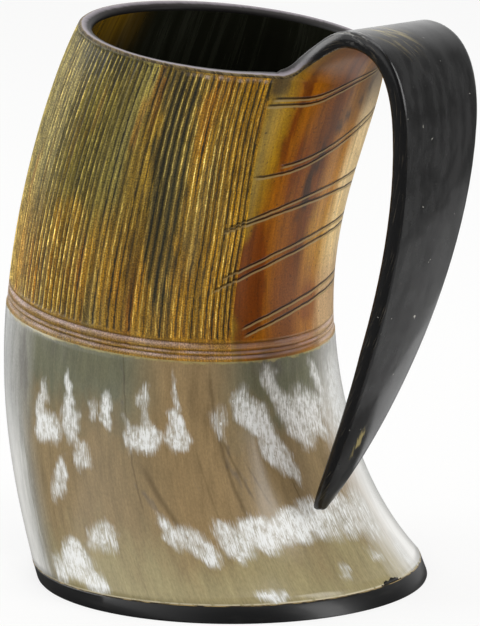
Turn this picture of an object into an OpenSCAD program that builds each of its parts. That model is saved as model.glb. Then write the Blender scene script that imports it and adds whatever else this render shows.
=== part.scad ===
// Horn drinking cup. One length of horn is the wall, and a strip of that same wall runs on
// past the rim, is bent over with heat and hangs down as the handle. A black horn plate with
// a locating step closes the foot, and a bed of glue fills the joint between the two.
// +Z is up and the handle points to +X. The origin is the middle of the flat underside.

/* [Cup] */
// Outer diameter of the horn where it stands on the base plate
foot_d = 104.4; // [96:0.2:110]
// Outer diameter of the rim
rim_d = 80.4; // [76:0.2:88]
// Height of the middle of the rim above the underside
rim_h = 145.2; // [130:0.2:150]
// Distance that the horn's natural curve carries its waist away from the handle
bow = 21.6; // [14:0.2:24]
// Distance that the foot of the horn lies away from the handle, from the middle of the underside
foot_shift = 2.2; // [0:0.1:4]
// Dip of the rim towards the handle, in degrees
rim_dip = 8.2; // [5:0.1:10]
// Thickness of the wall at the rim
rim_wall = 4; // [3.4:0.1:4.6]
// Thickness of the wall at the foot
foot_wall = 3.6; // [3:0.1:4.4]
// Width of the chamfers along the rim and along the edges of the handle
edge_cut = 0.9; // [0.5:0.1:1.2]

/* [Handle] */
// Width of the strip where it leaves the rim
strip_w = 36.5; // [32:0.5:40]
// Radius of the corners between the rim and the strip
root_fillet = 2.8; // [2:0.1:5]
// Length of wall below the rim that bends outwards with the strip
root_rise = 22; // [18:1:28]
// Distance that this bend carries the rim outwards in the middle of the strip
root_lean = 2.6; // [1.6:0.1:3.4]
// Distance of the highest point of the strip from the axis of the rim
crest_reach = 53.5; // [51:0.5:56]
// Height of that point above the underside
crest_h = 152.8; // [151:0.2:156]
// Distance of the outermost point of the handle from the axis of the rim
grip_reach = 72; // [70:0.5:76]
// Height of the outermost point
grip_h = 128; // [122:1:132]
// Thickness of the blade at its outermost point
blade_t = 4.6; // [4:0.1:5.2]
// Height of the crown on the outer face of the blade
blade_crown = 1; // [0.4:0.1:1.4]
// Thickness of the blade at its tip
tip_t = 2.4; // [2:0.1:3]
// Height of the tip above the underside
tip_h = 24; // [20:0.5:32]
// Gap between the tip and the wall
tip_gap = 1.2; // [0.6:0.1:3]
// Distance that the blade drifts sideways on its way down to the tip
tip_drift = 6; // [0:0.5:8]

/* [Ring band] */
// Height of the upper groove of the band in the middle of the cup
band_h = 73.2; // [66:0.2:80]
// Width of each groove
groove_w = 0.8; // [0.6:0.1:1]
// Depth of each groove
groove_depth = 0.5; // [0.3:0.1:0.8]
// Distance between the upper groove and the middle one
band_gap = 2.2; // [1.8:0.1:3]
// Distance between the middle groove and the lower one
pair_gap = 1.3; // [1.2:0.1:2]
// Width of the smooth edge under the lower groove
band_edge = 1.2; // [1:0.1:2]
// Depth of the carved half of the cup below the polished half
carve_depth = 0.4; // [0.2:0.1:0.8]

/* [Base] */
// Extra diameter of the underside over the horn's foot
plate_flare = 0.4; // [0:0.1:2]
// Thickness of the plate at its edge
plate_t = 4.2; // [3.6:0.1:5.2]
// Chamfer round the underside
base_cut = 0.4; // [0.2:0.1:0.8]
// Height of the locating step inside the horn
step_h = 3; // [2:0.2:4]
// Thickness of the glue in the joint
glue_t = 0.3; // [0.2:0.05:0.5]
// Size of the glue fillet round the floor inside the cup
glue_fillet = 1.4; // [1:0.1:2]

/* [Hidden] */

wall_columns = 64;      // columns of the wall outside the strip
half_columns = 6;       // columns of the strip on each side of its middle
fillet_rows = 4;        // rows along the root fillet
neck_rows = 4;          // rows from the rim to the crest
arch_rows = 7;          // rows from the crest to the outermost point
blade_rows = 13;        // rows from there to the tip
path_steps = 12;        // steps of each curve when its length is measured

seam_h = plate_t + glue_t;      // height of the horn's lower end
horn_h = rim_h - seam_h;        // height of the horn's own axis
base_d = foot_d + plate_flare;  // diameter of the underside

// Shares of the height between which the sections tip from level to the dip of the rim
level_share = 0.06;
dipped_share = 0.58;
// Control shares of the bow and of the narrowing from foot to rim
bow_shares = [0, 1.15, 1, 1.35, 0.45, 0];
taper_shares = [0, 0.8, 0.1, 1.4, 0.4, 1];
// Reach of each curve's own direction at its ends, as shares of the sizes named beside them
neck_start_share = 0.45;    // of the crest's height over the rim
neck_end_share = 0.35;      // of the crest's reach past the wall
arch_start_share = 0.66;    // of the grip's reach past the crest
arch_end_share = 0.66;      // of the crest's height over the grip
blade_start_share = 0.3;    // of the grip's height over the tip
blade_end_share = 0.35;     // of the grip's height over the tip
tip_slope = 59;             // direction of the blade at its tip, in degrees below level
tip_end_share = 0.004;      // part of the strip's length cut off square at the tip
full_blade_share = 0.7;     // part of the strip's length after which the blade thins
blend_share = 0.5;          // part of the way to the crest in which the rim's shape fades out
lean_edge = 48;             // angle from the middle of the handle where the bend has faded out

function mix(a, b, u) = a * (1 - u) + b * u;
function ease(x) = let (u = min(1, max(0, x))) u * u * (3 - 2 * u);
function bezier(p, u) =
    len(p) == 1 ? p[0] : bezier([for (i = [0:len(p) - 2]) mix(p[i], p[i + 1], u)], u);
function sum_to(v, n) = n < 0 ? 0 : v[n] + sum_to(v, n - 1);

// The horn's axis. A station runs from 0 at the foot to 1 at the rim.
function station(h) = (h - seam_h) / horn_h;
function axis_h(t) = seam_h + horn_h * t;
function axis_x(t) = -foot_shift * (1 - t) - bow * bezier(bow_shares, t);
function outer_r(t) = mix(foot_d, rim_d, bezier(taper_shares, t)) / 2;
function wall_at(t) = mix(foot_wall, rim_wall, t);
function dip(t) = rim_dip * ease((t - level_share) / (dipped_share - level_share));

// A point of the plain horn, inset from its outer surface, at an angle from the handle
function skin(t, angle, inset) =
    let (r = outer_r(t) - inset, a = dip(t))
    [axis_x(t) + r * cos(angle) * cos(a), r * sin(angle), axis_h(t) - r * cos(angle) * sin(a)];

// The same point after the wall under the handle has been bent outwards
top_t = 1 - edge_cut / horn_h;
lean_t = top_t - root_rise / horn_h;
function turned(v, a) = [v.x * cos(a) + v.z * sin(a), v.y, v.z * cos(a) - v.x * sin(a)];
function lean_turn(u) = atan(3 * root_lean * u * u / root_rise);
function drawn(t, angle, inset) =
    let (plain = skin(t, angle, inset), u = max(0, (t - lean_t) / (top_t - lean_t)))
    u == 0 ? plain :
    let (foot = skin(t, 0, wall_at(t)),
         out = turned([root_lean * pow(u, 3), 0, 0], rim_dip),
         bent = foot + out + turned(plain - foot, lean_turn(u)),
         away = abs(angle > 180 ? angle - 360 : angle))
    mix(plain, bent, 1 - ease(away / lean_edge));

// The middle line of the handle's outer face, in three curves that follow one another
root = drawn(top_t, 0, wall_at(top_t));
root_slope = 90 - rim_dip - lean_turn(1);
crest = [crest_reach, crest_h];
grip = [grip_reach, grip_h];
wall_line = [for (i = [0:40]) let (p = skin(i / 80, 0, 0)) [p.z, p.x]];
tip = [lookup(tip_h, wall_line) + tip_gap + tip_t / sin(tip_slope), tip_h];
neck_curve = [
    [root.x, root.z],
    [root.x, root.z] + neck_start_share * (crest_h - root.z) * [cos(root_slope), sin(root_slope)],
    crest - [neck_end_share * (crest_reach - root.x), 0],
    crest
];
arch_curve = [
    crest,
    crest + [arch_start_share * (grip_reach - crest_reach), 0],
    grip + [0, arch_end_share * (crest_h - grip_h)],
    grip
];
blade_curve = [
    grip,
    grip - [0, blade_start_share * (grip_h - tip_h)],
    tip + blade_end_share * (grip_h - tip_h) * [cos(tip_slope), sin(tip_slope)],
    tip
];
path = concat(
    [for (i = [0:path_steps]) bezier(neck_curve, i / path_steps)],
    [for (i = [1:path_steps]) bezier(arch_curve, i / path_steps)],
    [for (i = [1:path_steps]) bezier(blade_curve, i / path_steps)]
);
last_step = len(path) - 1;
step_lengths = [for (i = [0:last_step]) i == 0 ? 0 : norm(path[i] - path[i - 1])];
lengths = [for (i = [0:last_step]) sum_to(step_lengths, i)];
strip_l = lengths[last_step];
crest_l = lengths[path_steps];
grip_l = lengths[2 * path_steps];
function chord_slope(i) = let (d = path[i] - path[i - 1]) atan2(d.y, d.x);
slopes = [for (i = [0:last_step])
    i == 0 ? root_slope :
    i == last_step ? -180 + tip_slope :
    (chord_slope(i) + chord_slope(i + 1)) / 2];
path_x = [for (i = [0:last_step]) [lengths[i], path[i].x]];
path_h = [for (i = [0:last_step]) [lengths[i], path[i].y]];
path_slope = [for (i = [0:last_step]) [lengths[i], slopes[i]]];

// Half the width of the strip, its thickness, and how flat it has become
function half_w(s) = strip_w / 2 * sqrt(max(0, 1 - (s - edge_cut) / strip_l));
function strip_t(s) = lookup(s, [
    [0, rim_wall],
    [grip_l, blade_t],
    [full_blade_share * strip_l, blade_t],
    [strip_l, tip_t]
]);
function flat(s) = ease(s / crest_l);
function crown(s) = blade_crown * ease((s - crest_l) / (grip_l - crest_l)) * strip_t(s) / blade_t;

// A point of the strip: s along it, y across it, and depth from its outer face to the
// face towards the hand. Across its root the strip is still as round as the horn, and it
// leaves the rim from wherever the bent rim lies.
top_inner_r = outer_r(top_t) - wall_at(top_t);
function sheet_point(s, y, depth) =
    let (share = depth / strip_t(s),
         r = top_inner_r + depth,
         round_y = y * r / (top_inner_r + rim_wall),
         angle = asin(max(-1, min(1, round_y / r))),
         sag = (r - r * cos(angle)) * (1 - flat(s)),
         swell = crown(s) * (1 - pow(y / max(half_w(s), edge_cut), 2)) * (1 - share),
         across = mix(round_y, y, flat(s)),
         out = depth - sag - max(0, swell),
         aside = tip_drift * pow(max(0, s - grip_l) / (strip_l - grip_l), 2),
         a = lookup(s, path_slope))
    [lookup(s, path_x) + out * sin(a), across - aside, lookup(s, path_h) - out * cos(a)];
function strip_point(s, y, depth) =
    let (root_y = min(abs(y), strip_w / 2 + root_fillet) * sign(y),
         rim_point = drawn(top_t, asin(root_y / outer_r(top_t)), rim_wall - depth),
         fade = 1 - ease(s / (blend_share * crest_l)))
    sheet_point(s, y, depth) + fade * (rim_point - sheet_point(0, root_y, depth));

// Rows of the strip: [s, half width] of the sheet's edge, and of the cut edge beside it
root_angle = asin((strip_w / 2 + root_fillet) / outer_r(top_t));
function fillet_edge(b) =
    [edge_cut + root_fillet * (1 - cos(b)), strip_w / 2 + root_fillet * (1 - sin(b))];
fillet_cut = [for (i = [1:fillet_rows]) fillet_edge(90 * i / fillet_rows)];
fillet_sheet = [for (i = [1:fillet_rows])
    let (b = 90 * i / fillet_rows) fillet_edge(b) - edge_cut * [cos(b), sin(b)]];
fillet_end = edge_cut + root_fillet;
end_l = strip_l * (1 - tip_end_share);
free_s = concat(
    [for (i = [1:neck_rows]) mix(fillet_end, crest_l, i / neck_rows)],
    [for (i = [1:arch_rows]) mix(crest_l, grip_l, i / arch_rows)],
    [for (i = [1:blade_rows]) mix(grip_l, end_l - edge_cut, 1 - pow(1 - i / blade_rows, 1.6))]
);
sheet_rows = concat(fillet_sheet, [for (s = free_s) [s, half_w(s) - edge_cut]]);
cut_rows = concat(fillet_cut, [for (s = free_s) [s, half_w(s)]]);
strip_rows = len(sheet_rows);

// Columns round the cup: the strip's first, then the rest of the wall
strip_columns = 2 * half_columns + 1;
angles = concat(
    [for (i = [-half_columns:half_columns]) root_angle * i / half_columns],
    [for (i = [1:wall_columns - 1]) mix(root_angle, 360 - root_angle, i / wall_columns)]
);
columns = len(angles);

// Rows up the outside: [height on the axis, depth of the carving there]
function groove(h) = [
    [h - groove_w / 2, carve_depth],
    [h, carve_depth + groove_depth],
    [h + groove_w / 2, carve_depth]
];
low_groove_h = band_h - band_gap - pair_gap;
band_foot_h = low_groove_h - groove_w / 2 - band_edge;
band_top_h = band_h + groove_w / 2;
polished_rows = [0, 0.04, 0.08, 0.14, 0.22, 0.32, 0.45, 0.6, 0.8, 1];
carved_rows = [0.12, 0.26, 0.42, 0.55, 0.66, 0.75, 0.82, 0.88, 0.94, 1];
outer_rows = concat(
    [for (u = polished_rows) [mix(seam_h, band_foot_h, u), 0]],
    [[band_foot_h + carve_depth / 2, carve_depth]],
    groove(low_groove_h),
    groove(band_h - band_gap),
    groove(band_h),
    [for (u = carved_rows) [mix(band_top_h, axis_h(top_t), u), carve_depth]]
);
// Rows up the inside, the first three where the step and the glue end
floor_h = seam_h + step_h;
inner_rows = concat(
    [seam_h, floor_h, floor_h + glue_fillet],
    [for (u = [0.12, 0.24, 0.38, 0.52, 0.64, 0.74, 0.82, 0.88, 0.94, 1])
        mix(floor_h + glue_fillet, axis_h(top_t), u)]
);

// The carving fades out under the handle's root, where the strip is still full thickness
function carved(depth, h) = depth * (1 - ease((station(h) - lean_t) / (top_t - lean_t)));

// Bands of faces between two rows of point numbers, open or closed into a ring
function strip_faces(a, b) = [for (i = [0:len(a) - 2]) each [
    [a[i], a[i + 1], b[i + 1]], [a[i], b[i + 1], b[i]]]];
function turned_over(faces) = [for (f = faces) [f[0], f[2], f[1]]];
function closed(v) = concat(v, [v[0]]);
function backwards(v) = [for (i = [len(v) - 1:-1:0]) v[i]];
function count(start, n) = [for (i = [0:n - 1]) start + i];

module horn_cup() {
    outer = [for (row = outer_rows) each [for (a = angles)
        drawn(station(row[0]), a, carved(row[1], row[0]))]];
    inner = [for (h = inner_rows) each [for (a = angles)
        drawn(station(h), a, wall_at(station(h)))]];
    hand_face = [for (r = sheet_rows) each [for (i = [-half_columns:half_columns])
        strip_point(r[0], r[1] * i / half_columns, strip_t(r[0]))]];
    out_face = [for (r = sheet_rows) each [for (i = [-half_columns:half_columns])
        strip_point(r[0], r[1] * i / half_columns, 0)]];

    // The cut edge runs along the rim, down one side of the strip, round its tip and back
    tip_row = [for (i = [1:strip_columns - 2]) (i - half_columns) / half_columns];
    tip_half = sheet_rows[strip_rows - 1][1];
    function rim_edge(inset) = [for (i = [strip_columns - 1:columns])
        drawn(1, angles[i % columns], inset)];
    function side_edge(depth_cut, hand, sign) = [for (r = cut_rows)
        strip_point(r[0], sign * r[1], hand ? strip_t(r[0]) - depth_cut : depth_cut)];
    function tip_edge(depth_cut, hand) = [for (u = tip_row)
        strip_point(end_l, tip_half * u, hand ? strip_t(end_l) - depth_cut : depth_cut)];
    function cut_edge(inset, hand) = concat(
        rim_edge(inset),
        side_edge(edge_cut, hand, -1),
        tip_edge(edge_cut, hand),
        backwards(side_edge(edge_cut, hand, 1))
    );
    hand_edge = cut_edge(edge_cut, true);
    out_edge = cut_edge(rim_wall - edge_cut, false);

    // Point numbers, sheet by sheet
    inner_start = len(outer);
    hand_start = inner_start + len(inner);
    out_start = hand_start + len(hand_face);
    hand_edge_start = out_start + len(out_face);
    out_edge_start = hand_edge_start + len(hand_edge);
    function ring(start, row) = count(start + row * columns, columns);
    function sheet_row(start, top, row) =
        row < 0 ? count(top, strip_columns) : count(start + row * strip_columns, strip_columns);
    outer_top = (len(outer_rows) - 1) * columns;
    inner_top = inner_start + (len(inner_rows) - 1) * columns;
    function boundary(start, top) = concat(
        [for (i = [strip_columns - 1:columns]) top + i % columns],
        [for (k = [0:strip_rows - 1]) start + k * strip_columns],
        [for (i = [1:strip_columns - 2]) start + (strip_rows - 1) * strip_columns + i],
        [for (k = [strip_rows - 1:-1:0]) start + k * strip_columns + strip_columns - 1]
    );
    hand_loop = closed(boundary(hand_start, outer_top));
    out_loop = closed(boundary(out_start, inner_top));
    hand_cut_loop = closed(count(hand_edge_start, len(hand_edge)));
    out_cut_loop = closed(count(out_edge_start, len(out_edge)));

    faces = concat(
        [for (k = [0:len(outer_rows) - 2]) each strip_faces(closed(ring(0, k + 1)), closed(ring(0, k)))],
        [for (k = [0:len(inner_rows) - 2]) each
            strip_faces(closed(ring(inner_start, k)), closed(ring(inner_start, k + 1)))],
        strip_faces(closed(ring(0, 0)), closed(ring(inner_start, 0))),
        [for (k = [-1:strip_rows - 2]) each strip_faces(
            sheet_row(hand_start, outer_top, k + 1), sheet_row(hand_start, outer_top, k))],
        [for (k = [-1:strip_rows - 2]) each strip_faces(
            sheet_row(out_start, inner_top, k), sheet_row(out_start, inner_top, k + 1))],
        strip_faces(hand_cut_loop, hand_loop),
        strip_faces(out_cut_loop, hand_cut_loop),
        strip_faces(out_loop, out_cut_loop)
    );
    color("peru")
        polyhedron(points = concat(outer, inner, hand_face, out_face, hand_edge, out_edge),
                   faces = faces, convexity = 6);
}

// Rings of the foot: the horn's flare goes on straight down through the glue and the plate
function foot_x(h) = h >= seam_h ? axis_x(station(h)) : mix(0, -foot_shift, h / seam_h);
function foot_r(h) = h >= seam_h ? outer_r(station(h)) : mix(base_d, foot_d, h / seam_h) / 2;
function foot_ring(h, inset) =
    [for (a = angles) [foot_x(h) + (foot_r(h) - inset) * cos(a), (foot_r(h) - inset) * sin(a), h]];

// A solid between rings: open in the middle when it is a hoop, capped at both ends when not
module ringed(profile, hoop) {
    points = [for (p = profile) each foot_ring(p[0], p[1])];
    rows = [for (k = [0:len(profile) - 1]) count(k * columns, columns)];
    sides = [for (k = [0:len(rows) - 2]) each
        turned_over(strip_faces(closed(rows[k]), closed(rows[k + 1])))];
    ends = hoop
        ? strip_faces(closed(rows[0]), closed(rows[len(rows) - 1]))
        : [rows[0], backwards(rows[len(rows) - 1])];
    polyhedron(points = points, faces = concat(sides, ends), convexity = 4);
}

step_inset = foot_wall + glue_t;

module base_plate() {
    color("#26241f") ringed([
        [0, base_cut],
        [base_cut, 0],
        [plate_t, 0],
        [plate_t, step_inset],
        [floor_h, wall_at(station(floor_h)) + glue_t]
    ], false);
}

module glue_seam() {
    color("#c8b07a") ringed([
        [plate_t, step_inset],
        [plate_t, 0],
        [seam_h, 0],
        [seam_h, foot_wall],
        [floor_h, wall_at(station(floor_h))],
        [floor_h + glue_fillet, wall_at(station(floor_h + glue_fillet))],
        [floor_h, wall_at(station(floor_h)) + glue_t + glue_fillet],
        [floor_h, wall_at(station(floor_h)) + glue_t]
    ], true);
}

horn_cup();
base_plate();
glue_seam();
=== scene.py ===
"""Horn drinking cup, cut from one length of horn.

The wall is fluted above the ring band at its waist and polished below it. A strip of the
same wall runs on past the rim, is bent over with heat and hangs down as the handle. A black
horn plate, bedded in glue, closes the foot. Lengths are in metres, +Z is up and the handle
points to +X.
"""

import math
import random

import bmesh
import bpy
from bpy.props import FloatProperty, FloatVectorProperty, IntProperty, PointerProperty
from bpy.types import Operator, Panel, PropertyGroup
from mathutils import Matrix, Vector, kdtree, noise


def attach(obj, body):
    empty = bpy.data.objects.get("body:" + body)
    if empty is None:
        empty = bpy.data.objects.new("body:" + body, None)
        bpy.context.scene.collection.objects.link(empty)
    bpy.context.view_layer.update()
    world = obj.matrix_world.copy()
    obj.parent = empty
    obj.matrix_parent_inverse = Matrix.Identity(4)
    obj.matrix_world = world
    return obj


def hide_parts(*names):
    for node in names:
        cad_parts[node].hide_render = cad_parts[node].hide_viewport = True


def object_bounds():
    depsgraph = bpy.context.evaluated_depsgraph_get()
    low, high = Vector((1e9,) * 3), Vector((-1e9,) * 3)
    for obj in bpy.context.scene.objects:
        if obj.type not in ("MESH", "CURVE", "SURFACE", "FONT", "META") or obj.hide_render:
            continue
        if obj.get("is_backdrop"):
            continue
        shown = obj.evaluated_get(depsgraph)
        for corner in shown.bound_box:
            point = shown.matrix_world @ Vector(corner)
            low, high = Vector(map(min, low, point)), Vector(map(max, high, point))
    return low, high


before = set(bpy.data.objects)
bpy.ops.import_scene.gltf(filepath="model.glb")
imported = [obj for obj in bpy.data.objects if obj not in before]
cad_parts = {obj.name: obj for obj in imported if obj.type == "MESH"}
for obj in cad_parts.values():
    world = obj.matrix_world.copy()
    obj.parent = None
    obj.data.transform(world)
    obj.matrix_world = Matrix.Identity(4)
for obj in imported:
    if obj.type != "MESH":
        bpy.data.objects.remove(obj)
cad_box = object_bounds()

bl_info = {
    "name": "Horn drinking cup",
    "version": (1, 0, 0),
    "blender": (4, 5, 0),
    "location": "3D View > Sidebar > Horn cup",
    "description": "Models a fluted and polished horn cup with a heat-bent strip handle",
    "category": "Add Mesh",
}

MM = 0.001
# The number of a column where no flute is cut
NO_FLUTE = -1.0


def length(name, description, default):
    """A size that a user would change."""
    return FloatProperty(name=name, description=description, default=default, unit="LENGTH")


def colour(name, description, hex_code):
    """A colour that a user would change, given as the eye reads it."""
    return FloatVectorProperty(
        name=name,
        description=description,
        default=linear(hex_code),
        size=4,
        min=0,
        max=1,
        subtype="COLOR",
    )


def linear(hex_code):
    """Turn an sRGB hex code into the linear colour that shaders use."""
    parts = [int(hex_code[i:i + 2], 16) / 255 for i in (1, 3, 5)]
    return tuple([c / 12.92 if c <= 0.04045 else ((c + 0.055) / 1.055) ** 2.4 for c in parts] + [1.0])


class HornSizes(PropertyGroup):
    """Sizes of the horn, its handle and its foot."""

    foot_radius: length("Foot radius", "Outer radius of the horn on its base plate", 52.2 * MM)
    rim_radius: length("Rim radius", "Outer radius of the rim", 40.2 * MM)
    rim_height: length("Rim height", "Middle of the rim above the underside", 145.2 * MM)
    bow: length("Bow", "How far the horn's curve carries its waist from the handle", 21.6 * MM)
    foot_shift: length("Foot shift", "How far the foot of the horn lies from the origin", 2.2 * MM)
    rim_dip: FloatProperty(name="Rim dip", description="Dip of the rim towards the handle",
                           default=math.radians(8.2), subtype="ANGLE")
    rim_wall: length("Rim wall", "Thickness of the wall at the rim", 4 * MM)
    foot_wall: length("Foot wall", "Thickness of the wall at the foot", 3.6 * MM)
    edge_cut: length("Edge rounding", "Width of the rounding along the cut edges", 0.9 * MM)
    strip_width: length("Strip width", "Width of the handle strip at the rim", 36.5 * MM)
    root_fillet: length("Root fillet", "Radius of the corners beside the strip", 2.8 * MM)
    root_rise: length("Root rise", "Length of wall that bends out with the strip", 22 * MM)
    root_lean: length("Root lean", "How far that bend carries the rim out", 2.6 * MM)
    crest_reach: length("Crest reach", "Highest point of the strip from the rim's axis", 53.5 * MM)
    crest_height: length("Crest height", "Height of that point", 152.8 * MM)
    grip_reach: length("Grip reach", "Outermost point of the handle from the rim's axis", 72 * MM)
    grip_height: length("Grip height", "Height of the outermost point", 128 * MM)
    blade_thickness: length("Blade thickness", "Thickness of the hanging blade", 4.6 * MM)
    blade_crown: length("Blade crown", "Crown on the outer face of the blade", 1 * MM)
    tip_thickness: length("Tip thickness", "Thickness of the blade at its tip", 2.4 * MM)
    tip_height: length("Tip height", "Height of the tip above the underside", 24 * MM)
    tip_gap: length("Tip gap", "Gap between the tip and the wall", 1.2 * MM)
    tip_drift: length("Tip drift", "How far the blade drifts sideways to its tip", 6 * MM)
    plate_thickness: length("Plate thickness", "Thickness of the base plate at its edge", 4.2 * MM)
    plate_flare: length("Plate flare", "Extra radius of the underside over the foot", 0.2 * MM)
    step_height: length("Step height", "Height of the plate's step inside the horn", 3 * MM)
    glue_thickness: length("Glue thickness", "Thickness of the glue in the joint", 0.3 * MM)
    glue_fillet: length("Glue fillet", "Size of the glue fillet inside the cup", 1.4 * MM)


class CarvingSizes(PropertyGroup):
    """Sizes of what is cut into the upper half of the horn."""

    flutes: IntProperty(name="Flutes", description="Flutes round the cup", default=130)
    flute_depth: length("Flute depth", "Usual depth of a flute", 0.55 * MM)
    carved_depth: length("Carved depth", "How far the carved half lies below the rest", 0.25 * MM)
    band_height: length("Band height", "Upper groove of the ring band", 73.2 * MM)
    groove_width: length("Groove width", "Width of each ring groove", 0.8 * MM)
    groove_depth: length("Groove depth", "Depth of each ring groove", 0.5 * MM)
    band_gap: length("Band gap", "From the upper groove to the middle one", 2.2 * MM)
    pair_gap: length("Pair gap", "From the middle groove to the lower one", 1.3 * MM)
    band_edge: length("Band edge", "Smooth edge under the lower groove", 1.2 * MM)


class HornColours(PropertyGroup):
    """Main colours of the horn."""

    fibre: colour("Fibre", "Cloudy white where the horn's layers have opened", "#f2f3f1")
    # Freshly cut ridges, and a painted highlight along them
    ridge: colour("Ridge", "Freshly cut ridges between the flutes", "#cfb96e")
    # Old polish, and painted shade in the flutes' cuts
    grime: colour("Grime", "Dark polish left in the cuts", "#2a2a22")
    black: colour("Black horn", "The black inner layer of the horn", "#0e0e0f")
    amber: colour("Amber", "Thin black horn with light behind it", "#a57c18")
    glue: colour("Glue", "Glue squeezed out of the joint", "#c2a873")


def ease(x):
    """Smooth step from 0 to 1."""
    u = min(1.0, max(0.0, x))
    return u * u * (3 - 2 * u)


def mix(a, b, u):
    return a * (1 - u) + b * u


def steps(a, b, count):
    """Even steps from a, which is left out, to b."""
    return [mix(a, b, i / count) for i in range(1, count + 1)]


def bezier(points, u):
    """Point of a curve given by its control points."""
    row = list(points)
    while len(row) > 1:
        row = [mix(row[i], row[i + 1], u) for i in range(len(row) - 1)]
    return row[0]


class HornForm:
    """Where each point of the horn lies, worked out from its sizes."""

    # Control points of the axis's bow and of the wall's taper, from the foot to the rim
    BOW_SHARES = (0, 1.15, 1, 1.35, 0.45, 0)
    TAPER_SHARES = (0, 0.8, 0.1, 1.4, 0.4, 1)
    # Between these shares of the height, the level sections tip by degrees
    LEVEL_SHARE = 0.06
    DIPPED_SHARE = 0.58
    # As far round as this, the wall leans out under the handle
    LEAN_EDGE = math.radians(48)
    TIP_SLOPE = math.radians(59)
    CURVE_STEPS = 48

    def __init__(self, sizes):
        self.s = sizes
        self.seam = sizes.plate_thickness + sizes.glue_thickness
        self.height = sizes.rim_height - self.seam
        self.top = 1 - sizes.edge_cut / self.height
        self.lean_start = self.top - sizes.root_rise / self.height
        self.root_half = sizes.strip_width / 2 + sizes.root_fillet
        self.root_angle = math.asin(self.root_half / self.outer_radius(self.top))
        self.lay_path()

    def station(self, h):
        return (h - self.seam) / self.height

    def axis_height(self, t):
        return self.seam + self.height * t

    def axis_x(self, t):
        return -self.s.foot_shift * (1 - t) - self.s.bow * bezier(self.BOW_SHARES, t)

    def outer_radius(self, t):
        return mix(self.s.foot_radius, self.s.rim_radius, bezier(self.TAPER_SHARES, t))

    def wall(self, t):
        return mix(self.s.foot_wall, self.s.rim_wall, t)

    def skin(self, t, turn, inset=0.0):
        """A point of the plain horn, at an angle from the handle."""
        r = self.outer_radius(t) - inset
        dip = self.s.rim_dip * ease((t - self.LEVEL_SHARE) / (self.DIPPED_SHARE - self.LEVEL_SHARE))
        out = r * math.cos(turn)
        return Vector((
            self.axis_x(t) + out * math.cos(dip),
            r * math.sin(turn),
            self.axis_height(t) - out * math.sin(dip),
        ))

    def lean_turn(self, u):
        return math.atan(3 * self.s.root_lean * u * u / self.s.root_rise)

    def drawn(self, t, turn, inset=0.0):
        """The same point once the wall under the handle is bent outwards."""
        plain = self.skin(t, turn, inset)
        u = (t - self.lean_start) / (self.top - self.lean_start)
        if u <= 0:
            return plain
        foot = self.skin(t, 0, self.wall(t))
        out = tipped(Vector((self.s.root_lean * u ** 3, 0, 0)), self.s.rim_dip)
        bent = foot + out + tipped(plain - foot, self.lean_turn(u))
        away = abs(math.remainder(turn, math.tau))
        return plain.lerp(bent, 1 - ease(away / self.LEAN_EDGE))

    def lay_path(self):
        """Measure the middle line of the handle's outer face."""
        s = self.s
        root = self.drawn(self.top, 0, self.wall(self.top))
        slope = math.pi / 2 - s.rim_dip - self.lean_turn(1)
        start = Vector((root.x, root.z))
        crest = Vector((s.crest_reach, s.crest_height))
        grip = Vector((s.grip_reach, s.grip_height))
        wall_x = self.wall_at_height(s.tip_height)
        tip = Vector((wall_x + s.tip_gap + s.tip_thickness / math.sin(self.TIP_SLOPE), s.tip_height))
        up = Vector((math.cos(slope), math.sin(slope)))
        back = Vector((math.cos(self.TIP_SLOPE), math.sin(self.TIP_SLOPE)))
        drop = s.grip_height - s.tip_height
        # Three curves, whose control points lie at shares of what each spans
        curves = [
            (start, start + 0.45 * (s.crest_height - root.z) * up,
             crest - Vector((0.35 * (s.crest_reach - root.x), 0)), crest),
            (crest, crest + Vector((0.66 * (s.grip_reach - s.crest_reach), 0)),
             grip + Vector((0, 0.66 * (s.crest_height - s.grip_height))), grip),
            (grip, grip - Vector((0, 0.3 * drop)), tip + 0.35 * drop * back, tip),
        ]
        points = [start]
        self.knots = [0.0]
        self.path = []
        total = 0.0
        for curve in curves:
            for i in range(1, self.CURVE_STEPS + 1):
                points.append(bezier(curve, i / self.CURVE_STEPS))
                total += (points[-1] - points[-2]).length
                self.path.append((total, points[-1]))
            self.knots.append(total)
        self.path.insert(0, (0.0, start))
        self.slopes = [slope]
        for i in range(1, len(points) - 1):
            d = points[i + 1] - points[i - 1]
            self.slopes.append(math.atan2(d.y, d.x))
        self.slopes.append(self.TIP_SLOPE - math.pi)
        self.crest_run, self.grip_run, self.strip_length = self.knots[1:]

    def wall_at_height(self, h):
        """How far out the wall reaches under the handle at a height."""
        low, high = 0.0, 0.5
        for _ in range(30):
            t = (low + high) / 2
            low, high = (t, high) if self.skin(t, 0).z < h else (low, t)
        return self.skin(low, 0).x

    def along(self, s):
        """Place and slope of the path at a distance along it."""
        s = min(max(s, 0.0), self.strip_length)
        i = next(k for k in range(1, len(self.path)) if self.path[k][0] >= s - 1e-12)
        (s0, p0), (s1, p1) = self.path[i - 1], self.path[i]
        u = (s - s0) / (s1 - s0)
        return p0.lerp(p1, u), mix(self.slopes[i - 1], self.slopes[i], u)

    def half_width(self, s):
        return self.s.strip_width / 2 * math.sqrt(max(0, 1 - (s - self.s.edge_cut) / self.strip_length))

    def strip_thickness(self, s):
        if s < self.grip_run:
            return mix(self.s.rim_wall, self.s.blade_thickness, s / self.grip_run)
        thin = (s / self.strip_length - 0.7) / 0.3
        return mix(self.s.blade_thickness, self.s.tip_thickness, max(0, min(1, thin)))

    def crown(self, s):
        grown = ease((s - self.crest_run) / (self.grip_run - self.crest_run))
        return self.s.blade_crown * grown * self.strip_thickness(s) / self.s.blade_thickness

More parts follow.
